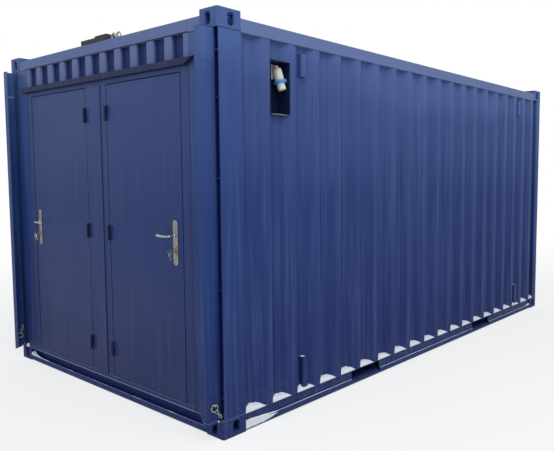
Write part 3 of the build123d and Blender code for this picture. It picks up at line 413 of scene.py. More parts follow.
def mixed(first, second, share):
    """A colour that is share of the way from the first to the second, both as three linear numbers."""
    return tuple(a * (1 - share) + b * share for a, b in zip(first, second))


def enamel(name, colours, wave=0.0, rust=0.0, rough=0.42, grain=0.25, seams=(), streak=0.30, painted_hollow_shade=None,
           barrel=None):
    """Alkyd enamel sprayed on steel: deep blue, semi-gloss. To the eye it is darker and clean below, chalked
    and paler near the roof, with run-off streaks, splashed dirt by the ground, a faint orange peel, and, on
    sheets, slow dents that bend the reflections. A seam is a level, half a width and a colour: a thin line of
    that colour, used for painted highlights on lit edges and painted shadows under overhangs. A hollow is a
    distance from the front behind which the colour turns to the one given: painted shade in the recess. A
    barrel is a hinge's distance from the middle, beside which the hinge plates carry the paint of the leaf,
    with that colour."""
    low, middle, high = colours
    tree, shader, place = start_finish(name, {"IOR": 1.5, "Metallic": 0.0, "Specular IOR Level": 0.18})
    x, y, level = add(tree, "SeparateXYZ", {0: place}).node.outputs
    cloud = add(tree, "TexNoise", {"Vector": place, "Scale": 1 / 0.55, "Detail": 3.0})
    share = add(tree, "MapRange", {"Value": level, 1: 0.1, 2: 2.55})
    share = add(tree, "Math", {0: cloud, 1: 0.20, 2: share}, operation="MULTIPLY_ADD")
    share = add(tree, "Math", {0: share, 1: 0.10}, operation="SUBTRACT")
    fade = add(tree, "ValToRGB", {"Fac": share})
    ramp = fade.node.color_ramp
    ramp.interpolation = "EASE"
    for spot in (0.5, 0.78):
        ramp.elements.new(spot)
    tones = (low, middle, mixed(middle, high, 0.4), high)
    for step, tone, spot in zip(ramp.elements, tones, (0.0, 0.5, 0.80, 0.97)):
        step.position, step.color = spot, rgba(tone)
    # Run-off streaks 30 mm wide and a metre long
    stretched = add(tree, "Mapping", {"Vector": place, "Scale": (30.0, 30.0, 1.0)})
    runs = patches(tree, stretched, 1.0, 0.48, 0.75, streak)
    # Splashed dirt, thickest below 100 mm and gone by 460 mm up, in spots 25 mm across
    splash = add(tree, "MapRange", {"Value": level, 1: 0.46, 2: 0.10, 3: 0.0, 4: 0.42})
    spots = patches(tree, place, 25 * MM, 0.45, 0.7, detail=4.0)
    dirt = add(tree, "Math", {0: splash, 1: spots}, operation="MULTIPLY")
    layers = [(runs, mixed(high, linear("#5f6f9c"), 0.5)), (dirt, "#4d5468")]
    if rust:
        # Rust chips 12 mm across, more of them where the slow cloud is high
        chips = add(tree, "TexNoise", {"Vector": place, "Scale": 1 / (12 * MM), "Detail": 3.0})
        chips = add(tree, "Math", {0: cloud, 1: 0.3, 2: chips}, operation="MULTIPLY_ADD")
        chips = add(tree, "MapRange", {"Value": chips, 1: 0.86 - rust, 2: 0.90 - rust, 4: 0.85})
        layers.append((chips, "#4a2f24"))
    # Thin lines of colour at given levels: painted highlights on lit edges and painted shadows under overhangs
    for seam, half, shade in seams:
        off = distance_from(tree, level, seam)
        line = add(tree, "MapRange", {"Value": off, 1: half, 2: half + 2 * MM, 3: 0.8, 4: 0.0})
        layers.append((line, shade))
    # Painted shade: behind the given depth and within the width of the container the colour turns to the given
    # darker one, for the shade in recesses
    if painted_hollow_shade:
        start, shade = FRONT + painted_hollow_shade[0], painted_hollow_shade[1]
        deep = add(tree, "MapRange", {"Value": x, 1: start, 2: start + 10 * MM})
        side = distance_from(tree, y)
        within = add(tree, "MapRange", {"Value": side, 1: -RIGHT - 2 * MM, 2: -RIGHT - 5 * MM})
        layers.append((add(tree, "Math", {0: deep, 1: within}, operation="MULTIPLY"), shade))
    if barrel:
        centre, shade = barrel
        off = distance_from(tree, distance_from(tree, y), centre)
        layers.append((add(tree, "MapRange", {"Value": off, 1: 11 * MM, 2: 12 * MM}), shade))
    dull = add(tree, "MapRange", {"Value": cloud, 1: 0.3, 2: 0.7, 3: rough - 0.07, 4: rough + 0.09})
    matt = add(tree, "Math", {0: dirt, 1: 0.5, 2: dull}, operation="MULTIPLY_ADD")
    # Orange peel is 2 mm across on the real coat and is drawn 7 mm across so that it shows
    peel = add(tree, "TexNoise", {"Vector": place, "Scale": 1 / (7 * MM)})
    bump = add(tree, "Bump", {"Strength": grain, "Distance": 0.4 * MM, "Height": peel})
    if wave:
        dents = add(tree, "TexNoise", {"Vector": place, "Scale": 1 / 0.38, "Detail": 1.0})
        bump = add(tree, "Bump", {"Strength": wave, "Distance": 14 * MM, "Height": dents, "Normal": bump})
    fill(shader, {"Base Color": layered(tree, fade, layers), "Roughness": matt, "Normal": bump})


def brushed_stainless(name, colour, stain):
    """Stainless steel, pressed and brushed lengthways: a warm satin grey with fine upright lines. A stain is
    the level that rust brown water from the lock cylinder has spread about."""
    tree, shader, place = start_finish(name, {"Metallic": 1.0})
    lines = add(tree, "Mapping", {"Vector": place, "Scale": (900.0, 900.0, 12.0)})
    brushing = add(tree, "TexNoise", {"Vector": lines, "Scale": 1.0})
    satin = add(tree, "MapRange", {"Value": brushing, 1: 0.3, 2: 0.7, 3: 0.18, 4: 0.34})
    layers = [(patches(tree, place, 30 * MM, 0.42, 0.72, 0.7), mixed(colour, BLACK, 0.26))]
    if stain:
        level = add(tree, "SeparateXYZ", {0: place}, "Z")
        near = add(tree, "MapRange", {"Value": distance_from(tree, level, stain), 1: 34 * MM, 2: 10 * MM})
        patch = patches(tree, place, 14 * MM, 0.46, 0.6, detail=4.0)
        brown = add(tree, "Math", {0: near, 1: patch}, operation="MULTIPLY")
        layers.append((brown, "#7a4c1c"))
        fill(shader, {"Metallic": add(tree, "Math", {0: 1.0, 1: brown}, operation="SUBTRACT")})
    bump = add(tree, "Bump", {"Strength": 0.15, "Distance": 0.1 * MM, "Height": brushing})
    fill(shader, {"Base Color": layered(tree, rgba(colour), layers), "Roughness": satin, "Normal": bump})


def moulded_plastic(name, colour, rough, soil):
    """Injection-moulded plastic: an even colour with a fine texture, a little soiled in patches."""
    tree, shader, place = start_finish(name, {"IOR": 1.46, "Metallic": 0.0})
    soiled = patches(tree, place, 40 * MM, 0.45, 0.8, soil, 4.0)
    tone = layered(tree, rgba(colour), [(soiled, mixed(colour, BLACK, 0.55))])
    matt = patches(tree, place, 20 * MM, 0.0, 1.0, rough + 0.06, least=rough - 0.06)
    texture = add(tree, "TexNoise", {"Vector": place, "Scale": 1 / (2 * MM)})
    bump = add(tree, "Bump", {"Strength": 0.2, "Distance": 0.15 * MM, "Height": texture})
    fill(shader, {"Base Color": tone, "Roughness": matt, "Normal": bump})


def plated(name):
    """Nickel-plated brass: bright and smooth, a shade warm, dulled by handling in spots 8 mm across."""
    tree, shader, place = start_finish(name, {"Metallic": 1.0})
    dulled = patches(tree, place, 8 * MM, 0.4, 0.7)
    matt = add(tree, "MapRange", {"Value": dulled, 3: 0.16, 4: 0.4})
    fill(shader, {"Base Color": layered(tree, rgba("#c9c6bd"), [(dulled, "#8c8778")]), "Roughness": matt})


def galvanised(name, rust):
    """Hot-dip galvanised steel bar: dull grey zinc with a faint spangle, breaking through to brown rust."""
    tree, shader, place = start_finish(name, {})
    spangle = add(tree, "TexVoronoi", {"Vector": place, "Scale": 1 / (6.25 * MM)}, "Color")
    spangle = add(tree, "RGBToBW", {0: spangle})
    eaten = patches(tree, place, 12 * MM, 0.66 - rust, 0.72 - rust, detail=4.0)
    grit = add(tree, "TexNoise", {"Vector": place, "Scale": 1 / (4 * MM)})
    fill(shader, {"Base Color": layered(tree, rgba("#8d8b82"), [(spangle, "#c0bdb2"), (eaten, "#54402f")]),
                  "Metallic": add(tree, "MapRange", {"Value": eaten, 3: 0.5, 4: 0.1}),
                  "Roughness": add(tree, "MapRange", {"Value": eaten, 3: 0.42, 4: 0.85}),
                  "Normal": add(tree, "Bump", {"Strength": 0.3, "Distance": 0.2 * MM, "Height": grit})})


def lining_board(name, colour, speckle, speck_size, rough):
    """Board with a factory facing: nearly even, with a fine print or grit in it and hand marks in patches."""
    tree, shader, place = start_finish(name, {"IOR": 1.5, "Metallic": 0.0})
    grit = add(tree, "TexVoronoi", {"Vector": place, "Scale": 1 / speck_size}, "Distance")
    grit = add(tree, "MapRange", {"Value": grit, 1: 0.1, 2: 0.5, 3: speckle, 4: 0.0})
    marks = patches(tree, place, 0.3, 0.5, 0.8, 0.25, 4.0)
    dark = mixed(colour, BLACK, 0.5)
    fill(shader, {"Base Color": layered(tree, rgba(colour), [(grit, dark), (marks, dark)]),
                  "Roughness": add(tree, "MapRange", {"Value": marks, 3: rough, 4: rough + 0.3}),
                  "Normal": add(tree, "Bump", {"Strength": 0.15, "Distance": 0.3 * MM, "Height": grit})})


def settled_snow(name, colour):
    """Old settled snow: bright, faintly blue, matt, with a crust in lumps about 15 mm across."""
    tree, shader, place = start_finish(name, {"Roughness": 0.85, "IOR": 1.31})
    crust = add(tree, "TexNoise", {"Vector": place, "Scale": 1 / (15 * MM), "Detail": 4.0})
    bump = add(tree, "Bump", {"Strength": 0.5, "Distance": 4 * MM, "Height": crust})
    shade = rgba(mixed(colour, BLACK, 0.20))
    fill(shader, {"Base Color": layered(tree, shade, [(crust, colour)]), "Normal": bump})


# Painted lines at the castings: a painted highlight along the lit top edge of the bottom castings, and a
# painted shadow under the overhang of the top castings
CASTING_EDGE_LIGHT_AND_SHADOW = ((POST_LOW[2], 1 * MM, "#5d6a94"), (POST_HIGH[2], 2 * MM, "#151c3c"))
# Painted highlights along the lit edges of the sill, the threshold and the sill's lip
SILL_EDGE_HIGHLIGHTS = ((SILL_HIGH[2], 2 * MM, "#9aa3bd"), (LEAF_LOW[2] - 7 * MM, 1.5 * MM, "#6f799f"),
              (SILL_LIP, 1.5 * MM, "#6273a6"))
NODE_FINISHES = {
    "painted cast steel": ("top_castings", "bottom_castings"),
    "post enamel": ("front_post_right", "front_post_left"),
    "frame enamel": ("rear_posts", "bottom_rail_right", "bottom_rail_left", "rear_header", "rear_sill",
                     "front_fin_right", "front_fin_left", "front_side_panels"),
    "top rail enamel": ("top_rail_right", "top_rail_left"),
    "underframe enamel": ("cross_members", "fork_pockets"),
    "sill enamel": ("front_sill", "door_threshold"),
    "chalked header enamel": ("front_header",),
    "transom enamel": ("transom_sheet",),
    "wall enamel": ("side_sheet_right", "side_sheet_left", "rear_sheet", "roof_sheet", "vent_covers"),
    "recess enamel": ("inlet_box",),
    "canopy enamel": ("door_canopy",),
    "door enamel": ("door_leaf_right", "door_leaf_left", "door_head", "door_jambs", "centre_post",
                    "centre_cover_strip"),
    "hinge enamel": ("frame_hinges", "leaf_hinges_right", "leaf_hinges_left"),
    "brushed stainless plate": ("handle_plates_right", "handle_plates_left"),
    "brushed stainless lever": ("lever_right", "lever_left"),
    "moulded cream plastic": ("inlet_housing", "inlet_socket"),
    "moulded blue plastic": ("inlet_collar",),
    "moulded dark plastic": ("roof_box",),
    "galvanised bar": ("roof_rings",),
    "rusted galvanised bar": ("fin_rings",),
    "white faced board": ("side_linings", "rear_lining", "front_linings", "ceiling_panel", "transom_backing"),
    "grey floor covering": ("floor_panel",),
}


def key(bow, down, lean):
    """A key from its bow's centre: the bow a flat hoop, the blade a bar whose lower edge is cut in steps."""
    reach = np.linspace(0, 27, 28)
    cuts = 3.4 - 1.2 * (np.sin(reach * 1.9) > 0.1) * (reach > 6) - 2.0 * (reach > 25)
    blade = np.asarray(bow) + np.outer((11.0 + reach) * MM, unit(down))
    return [hoop(bow, lean, 7.6 * MM, oval(3.7 * MM, 1.1 * MM, 10), lean=down),
            loft(sweep(blade, oval(cuts * MM, np.full(len(reach), 1.0 * MM), 8), lean))]


def chain(points, size, stretch):
    """Links between points, each turned a quarter about its run from the one before."""
    section = oval(size, size, 8)
    links = []
    for i, (a, b) in enumerate(zip(points[:-1], points[1:])):
        run = unit(b - a)
        flat = unit(np.cross(run, ACROSS))
        other = np.cross(run, flat)
        lean = unit(0.75 * flat + 0.66 * other if i % 2 else 0.75 * other - 0.66 * flat)
        reach = np.linalg.norm(b - a) / 2 + 1.6 * size
        links.append(hoop((a + b) / 2, lean, reach / stretch, section, stretch, run))
    return links


def bank(x, outer, inner, z, tall, share, power=0.62):
    """A bank of snow along x: from share of its height at the outer edge it rises to tall at the inner one,
    height = z + tall (share + (1 - share) v to the power), v going from 0 outside to 1 inside."""
    v = np.linspace(0, 1, 7)
    outer, inner, tall = (np.broadcast_to(value, len(x))[:, None] for value in (outer, inner, tall))
    y = outer + (inner - outer) * v
    top = z + tall * (share + (1 - share) * v ** power)
    ring_y = np.concatenate([y, y[:, ::-1]], 1)
    ring_z = np.concatenate([top, np.full(y.shape, z - 1 * MM)], 1)
    return loft(np.stack([np.broadcast_to(x[:, None], ring_y.shape), ring_y, ring_z], -1))


class CONTAINER_OT_finishes(bpy.types.Operator):
    """Make every finish and give it to the frame's nodes"""
    bl_idname = "container.finishes"
    bl_label = "Finishes"

    def execute(self, context):
        c = context.scene.container_colours
        wall, post, door = ([tuple(getattr(c, f"{part}_{level}")) for level in ("low", "middle", "high")]
                            for part in ("wall", "post", "door"))
        chalked = (post[0], post[1], tuple(c.chalk))
        enamel("wall enamel", wall, wave=0.22)
        enamel("frame enamel", post, wave=0.08, seams=CASTING_EDGE_LIGHT_AND_SHADOW)
        # The post's recess, the sill's channel and the transom's troughs get painted shade behind their given
        # depths
        enamel("post enamel", post, wave=0.08, seams=CASTING_EDGE_LIGHT_AND_SHADOW, painted_hollow_shade=(1 * MM, "#18225a"))
        enamel("top rail enamel", chalked, wave=0.08)
        enamel("painted cast steel", post, rust=0.03, rough=0.55, grain=0.9, seams=CASTING_EDGE_LIGHT_AND_SHADOW)
        enamel("door enamel", door, wave=0.35, streak=0.15)
        enamel("sill enamel", post, rust=0.05, rough=0.5, seams=SILL_EDGE_HIGHLIGHTS, painted_hollow_shade=(20 * MM, "#28326a"))
        enamel("underframe enamel", (post[0],) * 3, rust=0.08, rough=0.6, grain=0.5)
        enamel("chalked header enamel", chalked, wave=0.2, rough=0.55)
        enamel("transom enamel", chalked, rough=0.5, painted_hollow_shade=(12 * MM, "#263064"))
        enamel("canopy enamel", (tuple(c.canopy),) * 3, rough=0.5, rust=0.02)
        # The inlet's recess is painted near-black blue: painted shade for the shadow inside it
        enamel("recess enamel", (linear("#131b3c"),) * 3, rough=0.55)
        enamel("hinge enamel", (tuple(c.hinge),) * 3, rough=0.45, rust=0.03, barrel=(-HINGE_PIN[1], "#26346a"))
        brushed_stainless("brushed stainless plate", tuple(c.steel), LOCK_LEVEL + 13 * MM)
        # The lever's steel is the plate's made half again as bright: a painted highlight for the bright glint
        # along the lever
        brushed_stainless("brushed stainless lever", tuple(1.5 * v for v in c.steel), None)
        moulded_plastic("moulded cream plastic", tuple(c.cream), 0.42, 0.25)
        moulded_plastic("moulded blue plastic", tuple(c.blue), 0.30, 0.15)
        moulded_plastic("moulded dark plastic", linear("#2c3133"), 0.55, 0.5)
        moulded_plastic("black sealing rubber", linear("#0e1017"), 0.62, 0.2)
        moulded_plastic("dark joint sealant", linear("#0f1533"), 0.5, 0.3)
        plated("nickel plated brass")
        galvanised("galvanised bar", 0.02)
        galvanised("rusted galvanised bar", 0.10)
        lining_board("white faced board", linear("#d5d6d2"), 0.08, 3 * MM, 0.35)
        lining_board("grey floor covering", linear("#74787c"), 0.5, 6 * MM, 0.45)
        settled_snow("settled snow", tuple(c.snow))
        for finish, nodes in NODE_FINISHES.items():
            for node in nodes:
                for holder in frame["nodes"][node].material_slots:
                    holder.material = bpy.data.materials[finish]
        unfinished = set(frame["nodes"]) - {n for nodes in NODE_FINISHES.values() for n in nodes}
        if unfinished:
            raise RuntimeError(f"no finish for {sorted(unfinished)}")
        return {"FINISHED"}


class CONTAINER_OT_joints(bpy.types.Operator):
    """Run sealant along the front wall's joints and weld beads along sheets, rails and castings"""
    bl_idname = "container.joints"
    bl_label = "Sealant and welds"

    def execute(self, context):
        d = context.scene.container_details
        jamb, outward = JAMB_HIGH[1], -ALONG
        upright = ((STRIP_EDGE, JAMB_LOW[2], HEAD_LOW[2]), (jamb, RAIL_TOP, HEAD_HIGH[2]),
                   (-FIN_HIGH[1], POST_LOW[2], POST_HIGH[2]))
        runs = [bead([(FRONT, y, z0), (FRONT, y, z1)], outward, d.sealant, 0.4) for y, z0, z1 in upright]
        root = np.array((FRONT - 1 * MM, 2 * MM - FIN_HIGH[1], 0.0))
        corners = [root + (FIN_LOW[2] + 60 * MM) * UP, root + POST_HIGH[2] * UP]
        runs.append(bead(corners, outward, 1.3 * d.sealant))
        runs = both_sides(runs)
        for x, z in ((HEADER_LOW[0], HEADER_LOW[2]), (FRONT, HEAD_HIGH[2] - 50 * MM)):
            runs.append(bead([(x, -jamb, z), (x, jamb, z)], outward, d.sealant))
        make_piece("front_wall_sealant", runs, "dark joint sealant", "frame")

        turns = wall_turns(POST_DEPTH, SHEET_HIGH[0] - FRONT)
        face = RIGHT + WAVE_SETBACK + wall_depth(turns)
        for name, z in (("foot", SHEET_LOW[2]), ("head", SHEET_HIGH[2])):
            corners = np.column_stack([FRONT + turns, face, np.full(len(turns), z)])
            weld = both_sides([bead(corners, UP, d.bead, 1.0, d.bead_pitch)])
            make_piece(f"wall_{name}_welds", weld, "wall enamel", "frame")

        slim = 0.75 * d.bead
        seams = [((FRONT, -jamb - 168 * MM, z), (FRONT, FIN_LOW[1], z), outward)
                 for z in (POST_LOW[2], POST_HIGH[2])]
        for low, high in ((HEADER_LOW, HEADER_HIGH), (SILL_LOW, SILL_HIGH)):
            seams.append(((low[0], -HEADER_HIGH[1], low[2]), (low[0], -HEADER_HIGH[1], high[2]), outward))
        for x in (SHEET_LOW[0], REAR_POST):
            y = RIGHT + slim
            seams.append(((x, y, SHEET_HIGH[2]), (x, y, HEADER_HIGH[2] - 6 * MM), -ACROSS))
        welds = [bead([start, end], normal, slim, 0.8, d.bead_pitch) for start, end, normal in seams]
        make_piece("casting_welds", both_sides(welds), "frame enamel", "frame")
        return {"FINISHED"}


class CONTAINER_OT_handles(bpy.types.Operator):
    """Build each door's handle plates, levers, lock cylinders, screws and keys"""
    bl_idname = "container.handles"
    bl_label = "Door handles"

    def execute(self, context):
        d = context.scene.container_details
        outward = -ALONG
        y, z = (PLATE_LOW[1:] + PLATE_HIGH[1:]) / 2
        width, height = PLATE_HIGH[1:] - PLATE_LOW[1:]
        thick = 8 * MM
        top = FRONT - thick
        # Crowned plate: the rise over the rim is crown (1 - (1 - inset / reach) squared)
        inset = np.array((0, 0.5, 1.5, 3, 6, 10, 15, 20, 24)) * MM
        rise = thick - d.plate_crown * (1 - inset / inset[-1]) ** 2
        levels = [(0.0, 0.0), *zip(inset, rise)]
        cover = [plate(width, height, 21 * MM, levels, (FRONT, y, z), -ACROSS, UP, outward)]
        cover += [screw((top + 0.5 * MM, y, z + up * MM), outward, 4.2 * MM) for up in (-131, -35, 131)]
        barrel = mm((0.4, 6.0), (3.2, 6.0), (3.4, 7.2), (7.8, 7.2), (8.8, 6.2), (9.0, -2.0))
        cover.append(turned(barrel, (top + 2 * MM, y, LOCK_LEVEL), outward))
        # The same on the inner face, mirrored about the middle of the leaf
        mirrored = ((-1.0, 1.0, 1.0), (LEAF_LOW[0] + LEAF_HIGH[0], 0.0, 0.0))
        plates = cover + copies(cover, *mirrored)

        # One key in the lock, two on its ring
        bow = np.array((top - 32 * MM, y, LOCK_LEVEL))
        ring = bow + (-9 * MM, 0.0, 4 * MM)
        bunch = key(bow, ALONG, ACROSS)
        bunch.append(hoop(ring, (0.35, 1.0, 0.1), 13 * MM, oval(0.9 * MM, 0.9 * MM, 8)))
        bunch += key(ring + (1 * MM, -2 * MM, -19 * MM), (0.12, -0.05, -1.0), (0.3, 1.0, 0.1))
        bunch += key(ring + (3 * MM, 4 * MM, -18 * MM), (0.30, 0.15, -1.0), (-0.4, 1.0, 0.2))

        # Lever: neck out of the rose, quarter bend, then a grip that dips and thickens towards a rounded tip
        turn = np.linspace(0, np.pi / 2, 9)[1:]
        bend, stand = 15 * MM, 46 * MM
        grip = np.concatenate([np.arange(21, 131, 6), (133.5, 135.8, 137.3, 138.0)]) * MM
        neck = np.array((0, 10 * MM, 20 * MM, stand - bend))
        out = np.concatenate([neck, neck[-1] + bend * np.sin(turn), np.full(len(grip), stand)])
        side = np.concatenate([0 * neck, bend - bend * np.cos(turn), grip])
        share = side / grip[-1]
        level = LEVER_PIVOT[2] - 3.5 * MM * np.sin(np.pi * share)
        path = np.column_stack([top - out, y + side, level])
        round_off = np.ones(len(path))
        round_off[-4:] = (0.95, 0.80, 0.52, 0.16)
        tall = (d.lever_neck + (d.lever_tip - d.lever_neck) * np.clip(share * 1.4, 0, 1)) * round_off
        deep = (d.lever_neck - 1.2 * MM * share) * round_off
        rose = mm((13, -0.3), (13, 3.4), (12.2, 5), (9.6, 5.8), (8.2, 6.1), (7.4, 7.6), (5, 7.8))
        pivot = (top, y, level[0])
        arm = [loft(sweep(path, oval(deep, tall, 16))), turned(rose, pivot, outward, 32)]
        spindle = [(5 * MM, 0.0), (5 * MM, LEAF_HIGH[0] - FRONT + 2 * thick)]
        arms = arm + copies(arm, *mirrored) + [turned(spindle, pivot, ALONG, 16)]

        for side, factor in (("right", (1.0, 1.0, 1.0)), ("left", LEFT_TURN)):
            make_piece(f"handle_plates_{side}_pressed", copies(plates, factor), "brushed stainless plate",
                       f"door_{side}", (f"handle_plates_{side}",))
            make_piece(f"keys_{side}", copies(bunch, factor), "nickel plated brass", f"door_{side}")
            make_piece(f"lever_{side}_cast", copies(arms, factor), "brushed stainless lever", f"lever_{side}",
                       (f"lever_{side}",))
        return {"FINISHED"}


class CONTAINER_OT_hinges(bpy.types.Operator):
    """Add hinge caps and screws, and the rubber seals that the leaves close on"""
    bl_idname = "container.hinges"
    bl_label = "Hinges and seals"

    def execute(self, context):
        d = context.scene.container_details
        cap = mm((10.4, -1.0), (10.4, 0.6), (9.6, 2.2), (7.4, 3.6), (4.2, 4.5), (1.5, 4.8))
        half = 50 * MM
        x, y, _ = HINGE_PIN
        lower, upper = [], []
        for level in np.linspace(HINGE_LOW[2] - 0.5 * MM, HINGE_HIGH[2] - half - 2 * MM, 3):
            lower.append(turned(cap, (x, y, level - half), -UP))
            upper.append(turned(cap, (x, y, level + half - 2 * MM), UP))
            for place in (13 * MM, 37 * MM):
                upper.append(screw((FRONT - 3.8 * MM, y - 24 * MM, level + place), -ALONG, 3.4 * MM))
        make_piece("hinge_feet", both_sides(lower), "hinge enamel", "frame")
        make_piece("hinge_caps_right", upper, "hinge enamel", "door_right")
        make_piece("hinge_caps_left", copies(upper, LEFT_TURN), "hinge enamel", "door_left")

        lap = 9 * MM
        latch, hung = LEAF_LOW[1] + lap, LEAF_HIGH[1] - lap
        foot, head = LEAF_LOW[2] + 1 * MM, LEAF_HIGH[2] - lap
        corners = [(LEAF_HIGH[0] + 3 * MM, y, z) for y, z in
                   ((latch, foot), (hung, foot), (hung, head), (latch, head), (latch, foot))]
        loop = sweep(through(corners, 60 * MM)[:-1], oval(d.gasket / 2, 2.8 * MM, 10), ALONG, closed=True)
        make_piece("door_seals", both_sides([loft(loop, closed=True)]), "black sealing rubber", "frame")
        return {"FINISHED"}


class CONTAINER_OT_inlet(bpy.types.Operator):
    """Build the power inlet: base and gland, ribbed housing, hinged collar and socket with its pins"""
    bl_idname = "container.inlet"
    bl_label = "Power inlet"

    def execute(self, context):
        start = np.array((FRONT + 541 * MM, RIGHT + 63 * MM, BOX_HIGH[2] - 45 * MM))
        down = unit((0.13, -0.20, -0.95))
        gland = mm((2, -26), (12, -26), (13.5, -25), (13.5, -17), (17, -16), (17, -5))
        body = mm((12, -6), (24, -5), (28, -1), (29, 4), (29, 58), (30.5, 60), (30.5, 66), (29, 68), (29, 75))
        ribs = 0.025 * np.isin(np.arange(len(body)), (3, 4))
        housing = [turned(gland, start, down, 24, 6, 0.03), turned(body, start, down, 48, 24, ribs)]
        base = mm((0, 0), (0, 20), (1.5, 24), (5, 26))
        middle = np.array((FRONT + 516 * MM, BOX_HIGH[1] - 3 * MM, BOX_HIGH[2] - 57 * MM))
        housing.append(plate(80 * MM, 96 * MM, 9 * MM, base, middle, ALONG, UP, -ACROSS))
        for across, upward in ((-30, -38), (30, -38), (-30, 38), (30, 38)):
            housing.append(screw(middle + np.array((across, -25.5, upward)) * MM, -ACROSS, 4 * MM))
        make_piece("inlet_housing_moulded", housing, "moulded cream plastic", "frame",
                   ("inlet_housing",))

        collar = mm((29.2, 72), (38, 72), (41.5, 74), (42.5, 77), (42.5, 88), (41, 91), (37, 92), (28, 92))
        grip = 0.02 * np.isin(np.arange(len(collar)), (2, 3, 4, 5))
        skins = [turned(collar, start, down, 72, 18, grip)]
        # The flap hangs from a hinge at the collar's right
        side = unit(np.cross(down, ACROSS))
        other = np.cross(side, down)
        flap = mm((0, -3), (0, 2), (1.5, 4))
        flap_at = start + down * 84 * MM + side * 42 * MM
        skins.append(plate(11 * MM, 30 * MM, 3 * MM, flap, flap_at, side, other, down))
        make_piece("inlet_collar_moulded", skins, "moulded blue plastic", "frame",
                   ("inlet_collar",))

        well = mm((27, 90), (27, 128), (26.4, 134), (24.4, 136), (22.6, 134), (22.4, 100), (2, 99))
        make_piece("inlet_socket_moulded", [turned(well, start, down, 40)], "moulded cream plastic",
                   "frame", ("inlet_socket",))
        pin = mm((3.0, 99), (3.0, 120), (2.2, 122), (0.6, 122.5))
        pins = [turned(pin, start + 11 * MM * (math.cos(t) * side + math.sin(t) * other), down, 12)
                for t in (0.5, 2.6, 4.7)]
        make_piece("inlet_pins", pins, "nickel plated brass", "frame")
        return {"FINISHED"}


class CONTAINER_OT_rings(bpy.types.Operator):
    """Build the tie rings, pegs and chain ends on the fins, and the feet of the rings on the header"""
    bl_idname = "container.rings"
    bl_label = "Rings and chains"

    def execute(self, context):
        wire = oval(3.8 * MM, 3.8 * MM)
        peg = mm((5.5, -0.5), (4.0, 0.8), (4.0, 12), (6.4, 13.4), (7, 15), (6.2, 16.4), (3, 17))
        place = np.array(((FIN_LOW[0] + FRONT) / 2, FIN_LOW[1], RING_LEVEL))
        across_front = np.array((0.0, -2 * FIN_LOW[1] - 6 * MM, 0.0))
        skins = []
        for root in (place, place + across_front):
            skins.append(turned(peg, root + (0, 0, 16 * MM), -ACROSS))
            skins.append(hoop(root - (0, 8 * MM, 0), (0.12, 1.0, 0.0), 22 * MM, wire))
        near = place - (0.0, 8 * MM, 0.0)
        far = near + across_front
        skins += chain(near + mm((12, 0, -22), (22, -3, -36), (33, -6, -50), (41, -9, -64)),
                       2.9 * MM, 1.55)
        skins += chain(far + mm((8, 0, 22), (14, -3, 44), (24, -5, 66)), 2.9 * MM, 1.6)
        hook = far + mm((24, -5, 66), (28, -6, 74), (27, -6, 84), (20, -5, 90), (13, -4, 84))
        skins.append(loft(sweep(hook, oval(3 * MM, 3 * MM, 8), ACROSS)))
        make_piece("fin_rings_forged", skins, "rusted galvanised bar", "frame", ("fin_rings",))

        foot = mm((10.5, 0.0), (9.5, 2.4), (7.2, 4.6), (6.2, 5.4))
        x, y, z = (ROOF_RING_LOW[0] + ROOF_RING_HIGH[0]) / 2, ROOF_RING_LOW[1] + 30 * MM, ROOF_RING_LOW[2]
        feet = [turned(foot, (x, y + ring + way * 23 * MM, z), UP, 16, 5, 0.08)
                for ring in (0.0, 65 * MM) for way in (-1, 1)]
        make_piece("roof_ring_welds", feet, "galvanised bar", "frame")

        # Lid rims and screws of the service box on the header: a long lid and a lower one
        x, y, z = ROOF_BOX_LOW[0], ROOF_BOX_LOW[1], ROOF_BOX_HIGH[2]
        rims = []
        lids = ((y, y + 140 * MM, z - 1 * MM), (y + 142 * MM, ROOF_BOX_HIGH[1] - 2 * MM, z - 11 * MM))
        for y0, y1, top in lids:
            corners = [(x - 0.5 * MM, end, top - 9 * MM) for end in (y0 + 4 * MM, y1 - 2 * MM)]
            rims.append(bead(corners, -ALONG, 2.6 * MM, 0.8))
            for at in (y0 + 16 * MM, (y0 + y1) / 2, y1 - 16 * MM):
                rims.append(screw((x + 0.3 * MM, at, top - 22 * MM), -ALONG, 3.6 * MM))
        make_piece("service_box_rims", rims, "moulded dark plastic", "frame")
        return {"FINISHED"}


